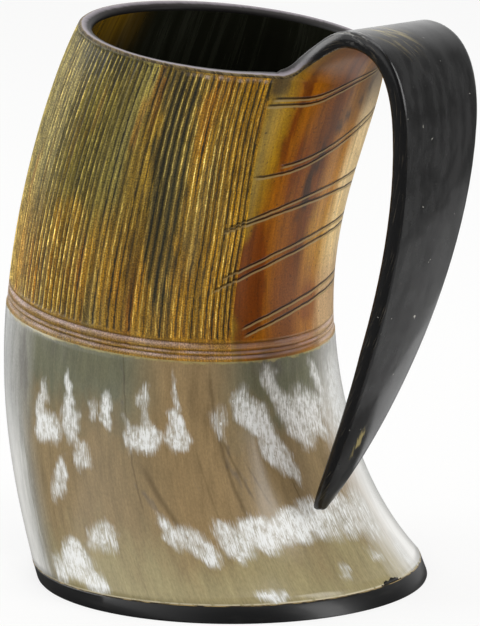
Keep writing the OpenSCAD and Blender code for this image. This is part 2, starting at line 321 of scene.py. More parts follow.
    def sheet_point(self, s, y):
        """A point of the strip's face towards the hand, with its path's own shape."""
        depth = self.strip_thickness(s)
        r_top = self.outer_radius(self.top) - self.wall(self.top)
        r = r_top + depth
        round_y = y * r / (r_top + self.s.rim_wall)
        angle = math.asin(max(-1, min(1, round_y / r)))
        flat = ease(s / self.crest_run)
        out = depth - (r - r * math.cos(angle)) * (1 - flat)
        drift = max(0, s - self.grip_run) / (self.strip_length - self.grip_run)
        at, slope = self.along(s)
        return Vector((
            at.x + out * math.sin(slope),
            mix(round_y, y, flat) - self.s.tip_drift * drift ** 2,
            at.y - out * math.cos(slope),
        ))

    def strip_point(self, s, y):
        """The same point, leaving the rim from wherever the bent rim lies."""
        root_y = math.copysign(min(abs(y), self.root_half), y)
        turn = math.asin(root_y / self.outer_radius(self.top))
        fade = 1 - ease(s / (0.5 * self.crest_run))
        step = self.drawn(self.top, turn) - self.sheet_point(0, root_y)
        return self.sheet_point(s, y) + fade * step

    def foot_point(self, h, turn, inset):
        """A point of the plate or the glue under the horn, or just inside it."""
        if h >= self.seam:
            return self.skin(self.station(h), turn, inset)
        u = h / self.seam
        r = mix(self.s.foot_radius + self.s.plate_flare, self.s.foot_radius, u) - inset
        return Vector((mix(0, -self.s.foot_shift, u) + r * math.cos(turn), r * math.sin(turn), h))


def tipped(v, a):
    """Turn a point about the Y axis."""
    return Vector((
        v.x * math.cos(a) + v.z * math.sin(a),
        v.y,
        v.z * math.cos(a) - v.x * math.sin(a),
    ))


# Soft marks on the horn, placed by angle from the handle in degrees and height in
# millimetres: (angle, height, half angle, half height, lean in degrees a millimetre, strength)
MARKS = {
    # Cloudy white where the layers have opened, below the ring band
    "bloom": [
        (-95, 50, 3, 6, 0.3, 0.8), (-94, 43, 6, 4, 0.5, 1.1), (-83.5, 54, 1.6, 6, 0.1, 0.9),
        (-83, 46, 4, 6, 0, 0.85), (-90, 32, 3, 5, 0.6, 0.8), (-95, 28, 2, 3, 0, 0.6),
        (-79, 38, 3.5, 3.5, 0.3, 0.7), (-68.5, 52, 2.2, 4.5, 0, 1.0), (-74, 52, 2, 3, 0, 0.6),
        (-62, 46, 1.6, 5, 0, 0.7), (-56.5, 46, 5.5, 4, 0, 1.05), (-56, 55, 1.6, 6, 0.1, 0.6),
        (-45, 58, 1, 8, -0.15, 0.6), (-44.5, 51, 2.6, 3.5, -0.2, 1.05), (-45.5, 46, 4, 3.5, 0, 0.9),
        (-31, 51, 3, 5, 0, 0.55), (-22, 53, 4, 6, -0.4, 0.8), (-17, 50, 5, 9, -0.45, 1.1),
        (-13, 41, 5, 6, -0.5, 0.95), (-9.5, 35, 2, 4, -0.5, 0.8), (-8, 57, 4, 9, -0.5, 0.75),
        (-2, 49, 5, 9, -0.5, 0.85), (6, 50, 6, 9, -0.5, 0.9), (13, 55, 3, 11, -0.3, 0.8),
        (30, 50, 13, 14, 0, 1.0), (42, 40, 10, 24, 0, 0.9),
        (-101, 8, 4, 4, 0.5, 0.8), (-92, 11, 7, 5, 0.4, 1.05), (-86, 7, 5, 4, 0, 0.9),
        (-78, 18, 6, 3.5, 0.5, 0.75), (-55, 21, 3, 5, -0.3, 0.85), (-49, 19, 5, 4, -0.4, 0.75),
        (-45, 15.5, 4, 2.6, 0, 0.95), (-36, 19, 5, 5, -0.3, 0.9), (-27, 20, 7, 4.5, 0, 1.05),
        (-16, 21, 8, 4.5, 0, 1.05), (-5, 22, 7, 5, -0.3, 0.95), (6, 22, 7, 6, -0.3, 0.8),
        (17, 20, 7, 6, -0.3, 0.7), (-32, 6, 4, 2.2, 0, 0.95), (-5, 9, 3, 2, 0, 0.7),
        (12, 10, 3, 2.5, 0, 0.6), (27, 9, 5, 4, 0, 0.7),
        (62, 50, 3, 7, 0.3, 0.9), (70, 46, 5, 4, 0.3, 1.0), (78, 53, 2.5, 7, 0.2, 0.8),
        (88, 44, 4, 4, 0, 0.9), (97, 51, 2, 8, -0.2, 0.7), (108, 47, 5, 4, -0.3, 1.0),
        (113, 55, 2, 7, -0.2, 0.8),
        (122, 43, 3, 5, -0.5, 0.8), (134, 50, 5, 5, -0.3, 0.95), (141, 42, 2.5, 6, -0.3, 0.7),
        (155, 48, 4, 4, 0.2, 0.9), (168, 53, 2, 7, 0.2, 0.7), (-175, 46, 5, 4, 0.3, 0.95),
        (-160, 51, 3, 7, 0.2, 0.8), (-146, 44, 3, 4, 0.2, 0.8), (66, 18, 6, 4, 0.3, 0.9),
        (84, 13, 5, 3, 0.4, 0.8), (101, 20, 8, 4, 0.3, 1.0), (118, 15, 5, 3, -0.3, 0.8),
        (136, 22, 7, 4, -0.4, 0.9), (158, 13, 5, 3, 0.2, 0.8), (178, 20, 7, 4, 0.3, 0.95),
        (-155, 16, 5, 3, 0.2, 0.8),
    ],
    # Dark layers and fine cracks
    "slate": [
        (-62, 138, 7, 12, -0.27, 1.3), (-57.5, 119, 6.5, 15, -0.27, 1.3), (-54.5, 98, 5.5, 17, -0.27, 1.1),
        (-80, 144, 8, 3, 0, 0.7), (-106, 143, 20, 6, 0, 1.0),
        (-50, 84, 4, 6, -0.2, 0.5), (-3.5, 117, 2.2, 13, 0.2, 0.9), (6, 134, 2.6, 6, 1.3, 0.9),
        (16, 141, 3, 4, 1.6, 0.7), (-2, 132, 6, 8, 0.3, 0.4),
        (-29, 144, 4, 4, 0, 0.9), (-106.5, 58, 3.5, 12, 0, 0.7), (-88, 66, 11, 6, 0, 0.5),
        (-12, 66, 8, 6, 0, 0.75), (2, 66, 6, 5, 0, 0.5), (14, 66, 5, 7, 0, 0.4),
        (-62, 60, 0.5, 10, 0, 0.7), (-61.5, 40, 0.5, 6, 0, 0.6), (-60.5, 32, 0.8, 4, -0.5, 0.8),
        (-57, 28, 1.6, 4, -0.7, 0.8), (-29.5, 39, 0.6, 9, -0.15, 0.8), (-27, 33, 0.7, 8, -0.3, 0.6),
        (-23, 34, 0.7, 8, -0.3, 0.5), (-7, 22, 0.5, 6, -0.5, 0.7), (-40, 28, 0.5, 9, -0.2, 0.5),
        (95, 60, 8, 30, 0.2, 0.7), (175, 110, 10, 40, 0.2, 0.8),
    ],
    # Red-brown and amber layers
    "russet": [
        (-50, 133, 4, 14, 0, 0.9), (-44, 142, 7, 5, 0, 0.7), (-104, 83, 14, 9, 0, 0.7),
        (-76, 86, 14, 10, 0, 0.6), (-60, 84, 5, 6, 0, 0.5), (-20, 90, 6, 17, 0, 1.1),
        (-9, 86, 7, 12, 0, 0.35), (-2, 96, 4, 14, 0, 0.3), (-19, 134, 2, 20, 0, 0.7),
        (-12, 120, 6, 12, 0, 0.5), (8, 82, 7, 6, 0, 0.7), (-37, 60, 4, 12, 0, 0.8),
        (-34, 52, 1.5, 16, -0.1, 0.7), (-27, 66, 3, 6, 0, 0.5),
        (-58, 45, 30, 14, 0, 0.25), (12, 33, 5, 5, -0.3, 0.8),
        (120, 100, 20, 24, 0, 0.6), (-150, 96, 16, 20, 0, 0.6),
    ],
    # Light golden layers, which on the flutes also strengthen the ridges' painted highlight
    "gold": [
        (-91, 98, 9, 9, 0, 0.9), (-79, 104, 4, 8, 0, 0.5), (-100, 94, 4, 6, 0, 0.5),
        (-44, 114, 7, 15, 0, 0.9), (-36, 104, 6, 14, 0, 0.8), (-38, 139, 6, 6, 0, 0.5),
        (-37, 84, 5, 10, 0, 0.8), (-75, 92, 7, 14, 0, 1.0), (-56, 84, 6, 8, 0, 0.6),
        (-94, 80, 7, 6, 0, 0.7),
        (-25, 130, 3.5, 14, 0, 0.8), (-23, 112, 2, 8, 0, 0.5), (-84, 80, 8, 6, 0, 0.4),
        (16, 100, 16, 14, 0, 0.6), (24, 120, 16, 10, 0, 0.5), (-10, 77, 3, 1.5, 0, 0.6),
        (75, 120, 14, 20, 0, 0.6), (150, 90, 20, 14, 0, 0.6),
    ],
    # Olive layers
    "olive": [
        (-86, 127, 9, 14, 0, 1.0), (-100, 117, 11, 12, 0, 0.5), (-76, 130, 5, 14, 0, 0.5),
        (-110, 130, 10, 12, 0, 0.4), (-29, 124, 3, 18, 0, 0.5), (-70, 63, 14, 6, 0, 0.6),
        (100, 112, 16, 26, 0, 0.7), (-140, 120, 14, 20, 0, 0.6),
    ],
}


def marked(kind, turn, h):
    """How strongly marks of a kind cover a point, from 0 to about 1."""
    angle = math.degrees(math.remainder(turn, math.tau))
    height = h / MM
    radius = Grain.MEAN_RADIUS / MM
    place = Vector((radius * math.cos(turn), radius * math.sin(turn), height)) * 0.16
    # Their outlines waver, in waves about 6 and 2 mm long
    angle += 2.4 * noise.noise(place) + 1.2 * noise.noise(3 * place)
    height += 2.2 * noise.noise(place + Vector((0, 0, 40)))
    height += 1.2 * noise.noise(3 * place + Vector((9, 0, 0)))
    most = 0.0
    for centre, middle, half, tall, lean, strength in MARKS[kind]:
        up = (height - middle) / tall
        if abs(up) < 1.5:
            across = math.remainder(angle - centre - lean * (height - middle), 360) / half
            most = max(most, strength * ease(1.5 - math.hypot(across, up)))
    return most


class Carving:
    """Depth and look of the flutes and ring grooves, cut by hand and never quite alike."""

    # Depth of a flute at the four columns that it is made of, as a share
    PROFILE = (0.0, 0.75, 1.0, 0.75)
    # How many flutes on each side of the handle are deeper and darker, and how deep they are
    BESIDE = 4
    BESIDE_DEPTH = 1.45
    # The panel's two edges drift round the horn by this much between the rim and the waist
    NEAR_DRIFT = math.radians(6.5)
    FAR_DRIFT = math.radians(14)
    # They have drifted the whole way at this height, and begin to this far above it
    DRIFTED = 96 * MM
    DRIFT_RISE = 44 * MM
    # Where painted highlights stand on the flutes' top scallops, in degrees from the handle
    GLINT_MIDDLE = -46
    GLINT_HALF = 14

    def __init__(self, form, cuts):
        self.form = form
        self.c = cuts
        rng = random.Random(11)
        n = cuts.flutes
        self.depths = [rng.uniform(0.7, 1.15) for _ in range(n)]
        for i in range(self.BESIDE):
            self.depths[i] = self.depths[n - 1 - i] = self.BESIDE_DEPTH
        self.tops = [rng.uniform(0.0, 0.4) * MM for _ in range(n)]
        self.feet = [rng.uniform(0.0, 0.6) * MM for _ in range(n)]
        self.edges = [0.0]
        for _ in range(n):
            self.edges.append(self.edges[-1] + rng.uniform(0.8, 1.2))
        self.top_height = form.axis_height(form.top)
        low = cuts.band_height - cuts.band_gap - cuts.pair_gap
        self.grooves = (low, cuts.band_height - cuts.band_gap, cuts.band_height)
        self.band_foot = low - cuts.groove_width / 2 - cuts.band_edge
        self.band_top = cuts.band_height + cuts.groove_width / 2

    def columns(self, strip_columns):
        """Angle and flute number of each column, round from one side of the strip."""
        root = self.form.root_angle
        found = [(root * (2 * i / strip_columns - 1), NO_FLUTE) for i in range(strip_columns + 1)]
        for k in range(1, 4 * self.c.flutes):
            near, far = self.edges[k // 4:k // 4 + 2]
            share = mix(near, far, k % 4 / 4) / self.edges[-1]
            found.append((mix(root, math.tau - root, share), k / 4))
        return found

    def spread(self, turn, h):
        """Below the rim the plain panel drifts round, and the flutes beside it with it."""
        angle = math.remainder(turn, math.tau)
        drift = self.NEAR_DRIFT if angle < 0 else self.FAR_DRIFT
        waist = 1 - ease((h - self.DRIFTED) / self.DRIFT_RISE)
        away = abs(angle) / self.form.root_angle
        share = min(away, 1 - ease((away - 1) / 2.2))
        return angle + drift * waist * share

    def profile(self, flute):
        """Share of its depth that a flute has at a column."""
        return self.PROFILE[round(4 * (flute % 1)) % 4]

    def flute_ends(self, flute, h):
        """How much of its depth a flute has at a height, as it runs out at both ends."""
        i = int(flute) % self.c.flutes
        below_top = ease((self.top_height - self.tops[i] - h) / (0.6 * MM))
        return below_top * ease((h - self.band_top - self.feet[i]) / (0.8 * MM))

    def depth(self, flute, h):
        """Depth of the carving, and how much of it is a cut, from 0 to 1."""
        if h <= self.band_foot:
            return 0.0, 0.0
        f = self.form
        fade = 1 - ease((f.station(h) - f.lean_start) / (f.top - f.lean_start))
        depth = self.c.carved_depth * fade * ease((h - self.band_foot) / (0.5 * MM))
        cut = 0.0
        for groove in self.grooves:
            near = 1 - abs(h - groove) / (self.c.groove_width / 2)
            if near > 0:
                cut = max(cut, math.sin(near * math.pi / 2))
        depth += cut * self.c.groove_depth
        if flute >= 0 and h > self.band_top:
            i = int(flute) % self.c.flutes
            share = self.profile(flute) * self.flute_ends(flute, h)
            wander = 1 + 0.35 * noise.noise(Vector((i * 0.7, h * 60, 3.1)))
            depth += share * wander * self.depths[i] * self.c.flute_depth
            cut = max(cut, share)
        return depth, cut

    def furrow(self, flute, h):
        """Where a point lies between a ridge, 0, and the bottom of a flute, 1."""
        if flute < 0 or h <= self.band_top:
            return 0.5
        return mix(0.5, 1 - abs(1 - 2 * (flute % 1)), self.flute_ends(flute, h))

    def ridge(self, flute, h):
        """How strong the ridges' painted highlight is about a point."""
        patch = noise.noise(Vector((flute * 0.23, h * 45, 1.7)))
        return min(1.0, max(0.0, 0.6 + 0.9 * patch))

    def grime(self, flute, h):
        """How dark the flutes are painted about a point: old polish, and painted shade in the cuts."""
        i = int(flute) % self.c.flutes
        patch = noise.noise(Vector((i * 0.83, h * 40, 7.9)))
        beside = 0.5 if min(i, self.c.flutes - 1 - i) < self.BESIDE else 0.0
        rim = 0.5 * ease((h - self.top_height + 7 * MM) / (4 * MM))
        return min(1.0, max(0.0, 0.72 + 0.8 * patch + beside + rim))

    def lip(self, h):
        """Whether a point lies on the lower side of a ring groove, which catches the light."""
        half = self.c.groove_width / 2
        return 1.0 if any(-1.1 * half < h - groove < -0.3 * half for groove in self.grooves) else 0.0

    def tone(self, flute, h):
        """Each flute is lighter or darker than the next, and changes in lengths of its own."""
        i = int(flute)
        cut = math.floor(h * 85 + i * 0.61)
        drift = noise.noise(Vector((i * 0.91, h * 22, 4.4)))
        return 0.5 + 0.35 * drift + 0.3 * noise.noise(Vector((i * 0.53, cut * 0.77, 6.1)))

    def warm(self, flute, h):
        """How brown or green a flute is, in lengths of its own, from 0 to 1."""
        i = int(flute)
        cut = math.floor(h * 65 + i * 0.37)
        drift = noise.noise(Vector((i * 0.47, h * 30, 1.3)))
        return 0.5 + 0.45 * drift + 0.4 * noise.noise(Vector((i * 0.71, cut * 0.83, 9.2)))

    def glint(self, flute, angle, h):
        """A painted highlight on the scallop at the top of some flutes, where the gouge broke out."""
        if flute < 0:
            return 0.0
        i = int(flute) % self.c.flutes
        near = 1 - abs(self.top_height - self.tops[i] - 0.7 * MM - h) / (0.7 * MM)
        lit = ease(1.6 - abs(math.degrees(angle) - self.GLINT_MIDDLE) / self.GLINT_HALF)
        some = min(1.0, max(0.0, 0.55 + 1.2 * noise.noise(Vector((i * 0.77, 3.3, 8.1)))))
        return 0.7 * some * lit * ease(near) * ease(1.6 * self.profile(flute) - 0.4)


def add_node(tree, kind, settings=None, output=0):
    """Add a shader node and return what it gives.

    Settings are the node's properties, its stops, and its inputs' values or sources.
    """
    made = tree.nodes.new(kind)
    for key, value in (settings or {}).items():
        if isinstance(value, Value):
            tree.links.new(value.node.outputs[value.output], made.inputs[key])
        elif key == "stops":
            ramp = made.color_ramp
            while len(ramp.elements) < len(value):
                ramp.elements.new(1.0)
            for element, (place, colour_there) in zip(ramp.elements, value):
                element.position = place
                element.color = tint(colour_there)
        elif isinstance(key, str) and hasattr(made, key):
            setattr(made, key, value)
        else:
            made.inputs[key].default_value = value
    return Value(made, output)


class Value:
    """What a shader node gives. It takes part in arithmetic, of which each step adds a node."""

    def __init__(self, node, output=0):
        self.node = node
        self.output = output

    def reckoned(self, operation, *values):
        settings = {"operation": operation, **dict(enumerate(values))}
        return add_node(self.node.id_data, "ShaderNodeMath", settings)

    def __add__(self, other):
        return self.reckoned("ADD", self, other)

    def __sub__(self, other):
        return self.reckoned("SUBTRACT", self, other)

    def __rsub__(self, other):
        return self.reckoned("SUBTRACT", other, self)

    def __mul__(self, other):
        return self.reckoned("MULTIPLY", self, other)

    def __abs__(self):
        return self.reckoned("ABSOLUTE", self)

    def at_least(self, other):
        return self.reckoned("MAXIMUM", self, other)

    def at_most(self, other):
        return self.reckoned("MINIMUM", self, other)

    def mapped(self, low, high, to_low, to_high, smooth=False):
        """The value's place between two limits, mapped to another pair."""
        return add_node(self.node.id_data, "ShaderNodeMapRange", {
            "interpolation_type": "SMOOTHSTEP" if smooth else "LINEAR",
            "Value": self,
            "From Min": low,
            "From Max": high,
            "To Min": to_low,
            "To Max": to_high,
        })

    def rise(self, low, high):
        """Smooth step from 0 to 1 between two limits."""
        return self.mapped(low, high, 0.0, 1.0, True)

    def fall(self, low, high):
        """Smooth step from 1 to 0 between two limits."""
        return self.mapped(low, high, 1.0, 0.0, True)


# The horn's own colours, each named for what it looks like
HUES = {
    "drab": "#8e8245",
    "dun": "#84794e",
    "olive": "#6c612d",
    "ochre": "#876c2b",
    "honey": "#9a7428",
    "mustard": "#bd9034",
    "gold": "#cda54a",
    "brass": "#a17a2e",
    "straw": "#9a8246",
    "umber": "#4a3516",
    "amber": "#a3641f",
    "russet": "#73350b",
    "mauve": "#7d4c26",
    "sand": "#b07c3e",
    "cream": "#f6dcae",
    "slate": "#37351f",
    "coal": "#352c26",
    "sage": "#6f6f59",
    "taupe": "#957d57",
    "flax": "#a2986f",
    "stone": "#94938a",
    "fog": "#b2b2ae",
    "pearl": "#dcdddb",
    "dusk": "#5f5a58",
}


def tint(given):
    """The linear colour of a hue's name, a hex code or a colour setting. A value stays as it is."""
    if isinstance(given, Value):
        return given
    return linear(HUES.get(given, given)) if isinstance(given, str) else tuple(given)


class Grain:
    """The horn's own directions in a shader: across its fibres and along them."""

    # Turn of the fibres round the horn, from the lean of its dark streaks
    TWIST = math.radians(5)
    WAIST = 0.084
    MEAN_RADIUS = 0.043
    # Length of a degree round the horn, in millimetres
    DEGREE = MEAN_RADIUS * math.radians(1) / MM

    def __init__(self, tree, twist=TWIST):
        self.tree = tree
        self.uv = add_node(tree, "ShaderNodeUVMap", {"uv_map": "horn"})
        self.flow = add_node(tree, "ShaderNodeMapping", {
            "vector_type": "TEXTURE",
            "Location": (0, self.WAIST, 0),
            "Rotation": (0, 0, twist),
            "Vector": self.uv,
        })
        # Angle from the handle in degrees, and height in millimetres
        around = add_node(tree, "ShaderNodeSeparateXYZ", {0: self.uv})
        self.turn = around * (1 / (self.DEGREE * MM))
        self.height = Value(around.node, 1) * (1 / MM)

    def fibres(self, width, run, detail=3, place=0, turned=True):
        """Noise drawn out along the fibres: their width and their run in millimetres."""
        sized = add_node(self.tree, "ShaderNodeMapping", {
            "Scale": (1 / (width * MM), 1 / (run * MM), 1),
            "Location": (place, place, place),
            "Vector": self.flow if turned else self.uv,
        })
        settings = {"Scale": 1.0, "Detail": detail, "Roughness": 0.6, "Vector": sized}
        return add_node(self.tree, "ShaderNodeTexNoise", settings)

    def bands(self, wander, stops):
        """Colours round the horn: (angle from the handle in degrees, hue), wandering in degrees."""
        turn = self.turn + (self.fibres(7, 60, 3, 3) * 4 - 2) * wander
        places = [((angle + 180) / 360, hue) for angle, hue in stops]
        share = turn * (1 / 360) + 0.5
        return add_node(self.tree, "ShaderNodeValToRGB", {"stops": places, 0: share})

    def mark(self, name):
        """A number painted on the piece."""
        return add_node(self.tree, "ShaderNodeAttribute", {"attribute_name": name}, "Fac")

    def cover(self, kind, width, run, reach, low, high, place):
        """A kind of mark, frayed along the fibres."""
        amount = self.mark(kind)
        frayed = self.fibres(width, run, 4, place) * (2 * reach) - reach
        # No fraying where there is no mark at all
        return (amount + frayed * amount.rise(0, 0.25)).rise(low, high)


class Coat:
    """A material in the making: its shader, its colour so far and its relief so far."""

    def __init__(self, name, gloss, colour_first=None):
        self.material = bpy.data.materials.new(name)
        self.material.use_nodes = True
        self.tree = self.material.node_tree
        self.tree.nodes.clear()
        self.shader = add_node(self.tree, "ShaderNodeBsdfPrincipled", gloss)
        add_node(self.tree, "ShaderNodeOutputMaterial", {"Surface": self.shader})
        self.colour = colour_first
        self.relief = None

    def lay(self, amount, colour_over):
        """Lay a hue, a hex code, a colour setting or a value over the colour so far."""
        settings = {"data_type": "RGBA", 0: amount, 6: tint(self.colour), 7: tint(colour_over)}
        self.colour = add_node(self.tree, "ShaderNodeMix", settings, 2)

    def emboss(self, height, depth, strength=1.0):
        """Lay relief of a real depth in millimetres over the relief so far."""
        settings = {"Height": height, "Distance": depth * MM, "Strength": strength}
        if self.relief:
            settings["Normal"] = self.relief
        self.relief = add_node(self.tree, "ShaderNodeBump", settings)

    def brighten(self, *factors, rich=1.0):
        """Make the colour lighter or darker by one or more factors, and richer if wished."""
        total = factors[0]
        for factor in factors[1:]:
            total = total * factor
        settings = {"Saturation": rich, "Value": total, "Color": self.colour}
        self.colour = add_node(self.tree, "ShaderNodeHueSaturation", settings)

    def finished(self, **others):
        """The material, with its colour, its relief and what else is given linked to the shader."""
        sources = {"Base Color": self.colour, "Normal": self.relief, **others}
        for key, source in sources.items():
            self.tree.links.new(source.node.outputs[source.output], self.shader.node.inputs[key])
        return self.material


# Keratin, the stuff of horn, has an index of about 1.55
KERATIN_IOR = 1.55


# Grooves cut round the plain panel: height in millimetres at its middle, climb and droop over
# 25 degrees, a step in millimetres between two angles, and the angle where the groove starts
GROOVES = [
    (141.0, 1.5, 0.0, 5.0, -18, 6, -30.5),
    (139.3, 1.5, 0.0, 5.0, -18, 6, -32.5),
    (122.9, 2.2, 0.0, 6.4, -20, 26, -19.5),
    (121.0, 2.5, 0.0, 6.4, -20, 26, -28),
    (112.9, 4.2, 2.1, 0.0, 0, 1, -34),
    (110.7, 3.0, 2.1, 0.0, 0, 1, -34),
    (99.9, 4.8, 2.3, 0.0, 0, 1, -31),
    (97.7, 4.8, 2.3, 0.0, 0, 1, -34),
    (83.1, 4.9, 2.0, 0.0, 0, 1, -22),
    (80.6, 4.9, 2.0, 0.0, 0, 1, -21),
]
GROOVE_SPAN = 25
GROOVE_END = 50
# A groove's painted shade on its upper side and painted highlight on its lower side, in millimetres:
# how far each lies above the groove's line, and how far from there it is full and gone
GROOVE_SIDES = ((0.12, 0.12, 0.42), (-0.5, 0.12, 0.46))


def panel_grooves(grain):
    """How close a point is to a groove's painted shade on its upper side, and to its painted highlight on
    its lower side, from 0 to 1.
    """
    turn = grain.turn * (1 / GROOVE_SPAN)
    square = turn * turn
    height = grain.height + (grain.fibres(5, 5, 2, 6, turned=False) * 0.6 - 0.3)
    sides = [0.0, 0.0]
    for middle, climb, droop, step, step_from, step_to, start in GROOVES:
        line = turn * climb + middle
        if droop:
            line = line - square * droop
        if step:
            line = line + turn.rise(step_from / GROOVE_SPAN, step_to / GROOVE_SPAN) * step
        above = height - line
        begun = turn.rise(start / GROOVE_SPAN, start / GROOVE_SPAN + 0.1)
        for side, (place, full, gone) in enumerate(GROOVE_SIDES):
            here = abs(above - place).fall(full, gone) * begun
            sides[side] = here.at_least(sides[side])
    end = GROOVE_END / GROOVE_SPAN
    return [side * turn.fall(end - 0.2, end) for side in sides]


def lay_grooves(coat, grooves, amount=1.0):
    """Painted shade along a groove's upper side and a dull tan painted highlight along its lower side."""
    dark, lit = grooves
    coat.lay(lit * (0.8 * amount), "#a58e60")
    coat.lay(dark * (0.86 * amount), "#20160c")


def lay_ring_band(coat, grain, amount):
    """The ring band was turned, so its layers show as fine lines round the cup. Its grooves get painted
    shade, and a painted highlight on their lower sides.
    """
    plain = coat.colour
    coat.colour = "#a8843c"
    coat.lay(grain.fibres(16, 0.3, 3, 2, turned=False).rise(0.35, 0.65), "#6b4a1e")
    coat.lay(0.45, plain)
    # Painted shade in the grooves
    coat.lay(grain.mark("cut") * 0.5, "#3d2f20")
    pale = grain.fibres(9, 2, 3, 4, turned=False).mapped(0.35, 0.65, 0.1, 0.8)
    # A painted highlight on the grooves' lower sides
    coat.lay(grain.mark("lip") * pale, "#d6bfc0")
    ring, coat.colour = coat.colour, plain
    coat.lay(grain.mark("ring") * amount, ring)


def fluted_horn(colours):
    """Horn cut with a gouge: layers of olive, brown and gold, each flute a shade of its own."""
    coat = Coat("horn, gouged flutes", {"IOR": KERATIN_IOR, "Specular IOR Level": 0.3})
    grain = Grain(coat.tree)
    coat.colour = grain.bands(3, [
        (-180, "ochre"), (-150, "drab"), (-122, "dun"), (-110, "dun"), (-100, "olive"),
        (-84, "olive"), (-76, "drab"), (-68, "ochre"), (-54, "ochre"), (-42, "honey"),
        (-34, "honey"), (-28, "mustard"), (30, "mustard"), (44, "ochre"), (70, "drab"),
        (110, "olive"), (145, "umber"), (165, "ochre"),
    ])
    coat.lay(grain.fibres(4, 24, 4, 7).rise(0.4, 0.7) * 0.3, "umber")
    coat.lay(grain.fibres(3, 14, 4, 12).rise(0.55, 0.75) * 0.3, "honey")
    # The layers are browner towards the waist
    coat.lay(grain.height.fall(88, 112) * 0.5, "#9a6f2c")
    for kind, hue, depth in (("olive", "olive", 0.5), ("russet", "amber", 0.5), ("gold", "brass", 0.75)):
        coat.lay(grain.cover(kind, 1.3, 14, 0.75, 0.3, 1.1, 8.5) * depth, hue)
    warm = grain.mark("warm")
    coat.lay(warm.rise(0.6, 1.1), "#93602a")
    coat.lay(warm.mapped(0.1, 0.45, 0.45, 0), "#726a44")
    furrow = grain.mark("furrow")
    dark = grain.cover("slate", 0.6, 12, 1.5, 0.35, 0.8, 8.5)
    coat.lay(dark * furrow.mapped(0, 1, 0.4, 0.95), "slate")
    # Torn fibres fray the edge between ridge and furrow, so that no two ridges are alike
    line = grain.fibres(0.3, 3, 4, 6) * 1.1 - 0.55 + furrow
    # The ridges get a painted highlight: a pale colour, stronger on the golden layers
    crest = line.fall(0, 0.24) * grain.mark("ridge")
    coat.lay((grain.mark("gold") * 0.5 + 0.45) * crest, colours.ridge)
    coat.brighten(
        grain.fibres(0.45, 12, 4).mapped(0.3, 0.7, 0.6, 1.42),
        grain.fibres(0.2, 5, 3, 14).mapped(0.35, 0.65, 0.68, 1.38),
        grain.mark("tone").mapped(0.2, 0.8, 0.58, 1.5),
        # The ridges' painted highlight brightens them
        crest.mapped(0, 1, 0.98, 1.7),
        rich=1.06,
    )
    # Old polish and painted shade darken the flutes' bottoms
    coat.lay(line.rise(0.62, 0.86) * grain.mark("grime") * 0.92, colours.grime)
    # Painted highlights on the scallops at some flutes' tops
    coat.lay(grain.mark("glint"), "#cdb8a8")
    lay_ring_band(coat, grain, 0.7)
    pits = add_node(coat.tree, "ShaderNodeTexNoise", {"Scale": 2300, "Detail": 3, "Vector": grain.uv})
    coat.brighten(pits.mapped(0.35, 0.65, 0.6, 1.46))
    grooves = panel_grooves(grain)
    lay_grooves(coat, grooves, 0.8)
    # Torn fibre ends about a quarter of a millimetre across
    coat.emboss(grain.fibres(0.25, 0.9, 3, 4), 0.12)
    coat.emboss(1 - grooves[0], 0.3)
    return coat.finished(Roughness=grain.fibres(1.2, 6, 3, 5).mapped(0.3, 0.7, 0.25, 0.5))


def panel_horn():
    """Horn scraped and polished: amber under a clear gloss, with grooves cut across it."""
    coat = Coat("horn, polished panel", {
        "IOR": KERATIN_IOR,
        "Specular IOR Level": 0.3,
        "Roughness": 0.28,
        "Coat Weight": 0.08,
        "Coat Roughness": 0.1,
    })
    grain = Grain(coat.tree)
    coat.colour = grain.bands(1.5, [
        (-180, "ochre"), (-34, "honey"), (-28, "straw"), (-24, "honey"), (-19, "amber"),
        (-12, "amber"), (-5, "mauve"), (0, "mauve"), (5, "sand"), (11, "sand"), (18, "cream"),
        (44, "cream"), (60, "sand"), (180, "ochre"),
    ])
    for kind, hue, depth, fray, place in (
        ("olive", "straw", 0.6, 0.5, 6.5),
        ("gold", "gold", 0.4, 0.5, 5.2),
        ("russet", "russet", 0.9, 0.5, 7.8),
        ("slate", "coal", 0.75, 0.3, 5.2),
    ):
        coat.lay(grain.cover(kind, 2, 24, fray, 0.15, 0.9, place) * depth, hue)
    coat.brighten(
        grain.fibres(2.2, 40, 4).mapped(0.3, 0.7, 0.7, 1.28),
        grain.fibres(0.4, 9, 3, 8).mapped(0.3, 0.7, 0.84, 1.16),
        rich=1.1,
    )
    coat.lay(grain.fibres(1.2, 1.6, 5, 3).rise(0.5, 0.7) * 0.25, "#4f3a1c")
    # Near the rim a painted shadow under the handle's root greys one side, and the other side is dull
    # brown
    frayed = grain.fibres(2, 30, 4, 5) * 10 + grain.turn - 5
    coat.lay(frayed.rise(-1, 16) * grain.height.rise(124, 143) * 0.85, "#63574e")
    coat.lay(grain.height.rise(143, 151) * grain.turn.fall(-14, -4) * 0.55, "#4a3820")
    # By the waist they are red-brown
    coat.lay(grain.turn.rise(-14, -4) * grain.height.fall(84, 98) * 0.5, "#915a30")
    # Dark specks, thickest on the olive layers
    specks = add_node(coat.tree, "ShaderNodeTexNoise", {"Scale": 900, "Detail": 3, "Vector": grain.uv})
    coat.lay((specks + grain.mark("olive") * 0.07).rise(0.64, 0.7) * 0.6, "#3a2c18")
    dust = add_node(coat.tree, "ShaderNodeTexNoise", {"Scale": 1900, "Detail": 3, "Vector": grain.uv})
    coat.brighten(dust.mapped(0.35, 0.65, 0.84, 1.16))
    grooves = panel_grooves(grain)
    lay_grooves(coat, grooves)
    lay_ring_band(coat, grain, 0.6)
    coat.emboss(grain.fibres(0.4, 5, 3, 5), 0.03, 0.7)
    coat.emboss(1 - grooves[0], 0.3)
    return coat.finished()


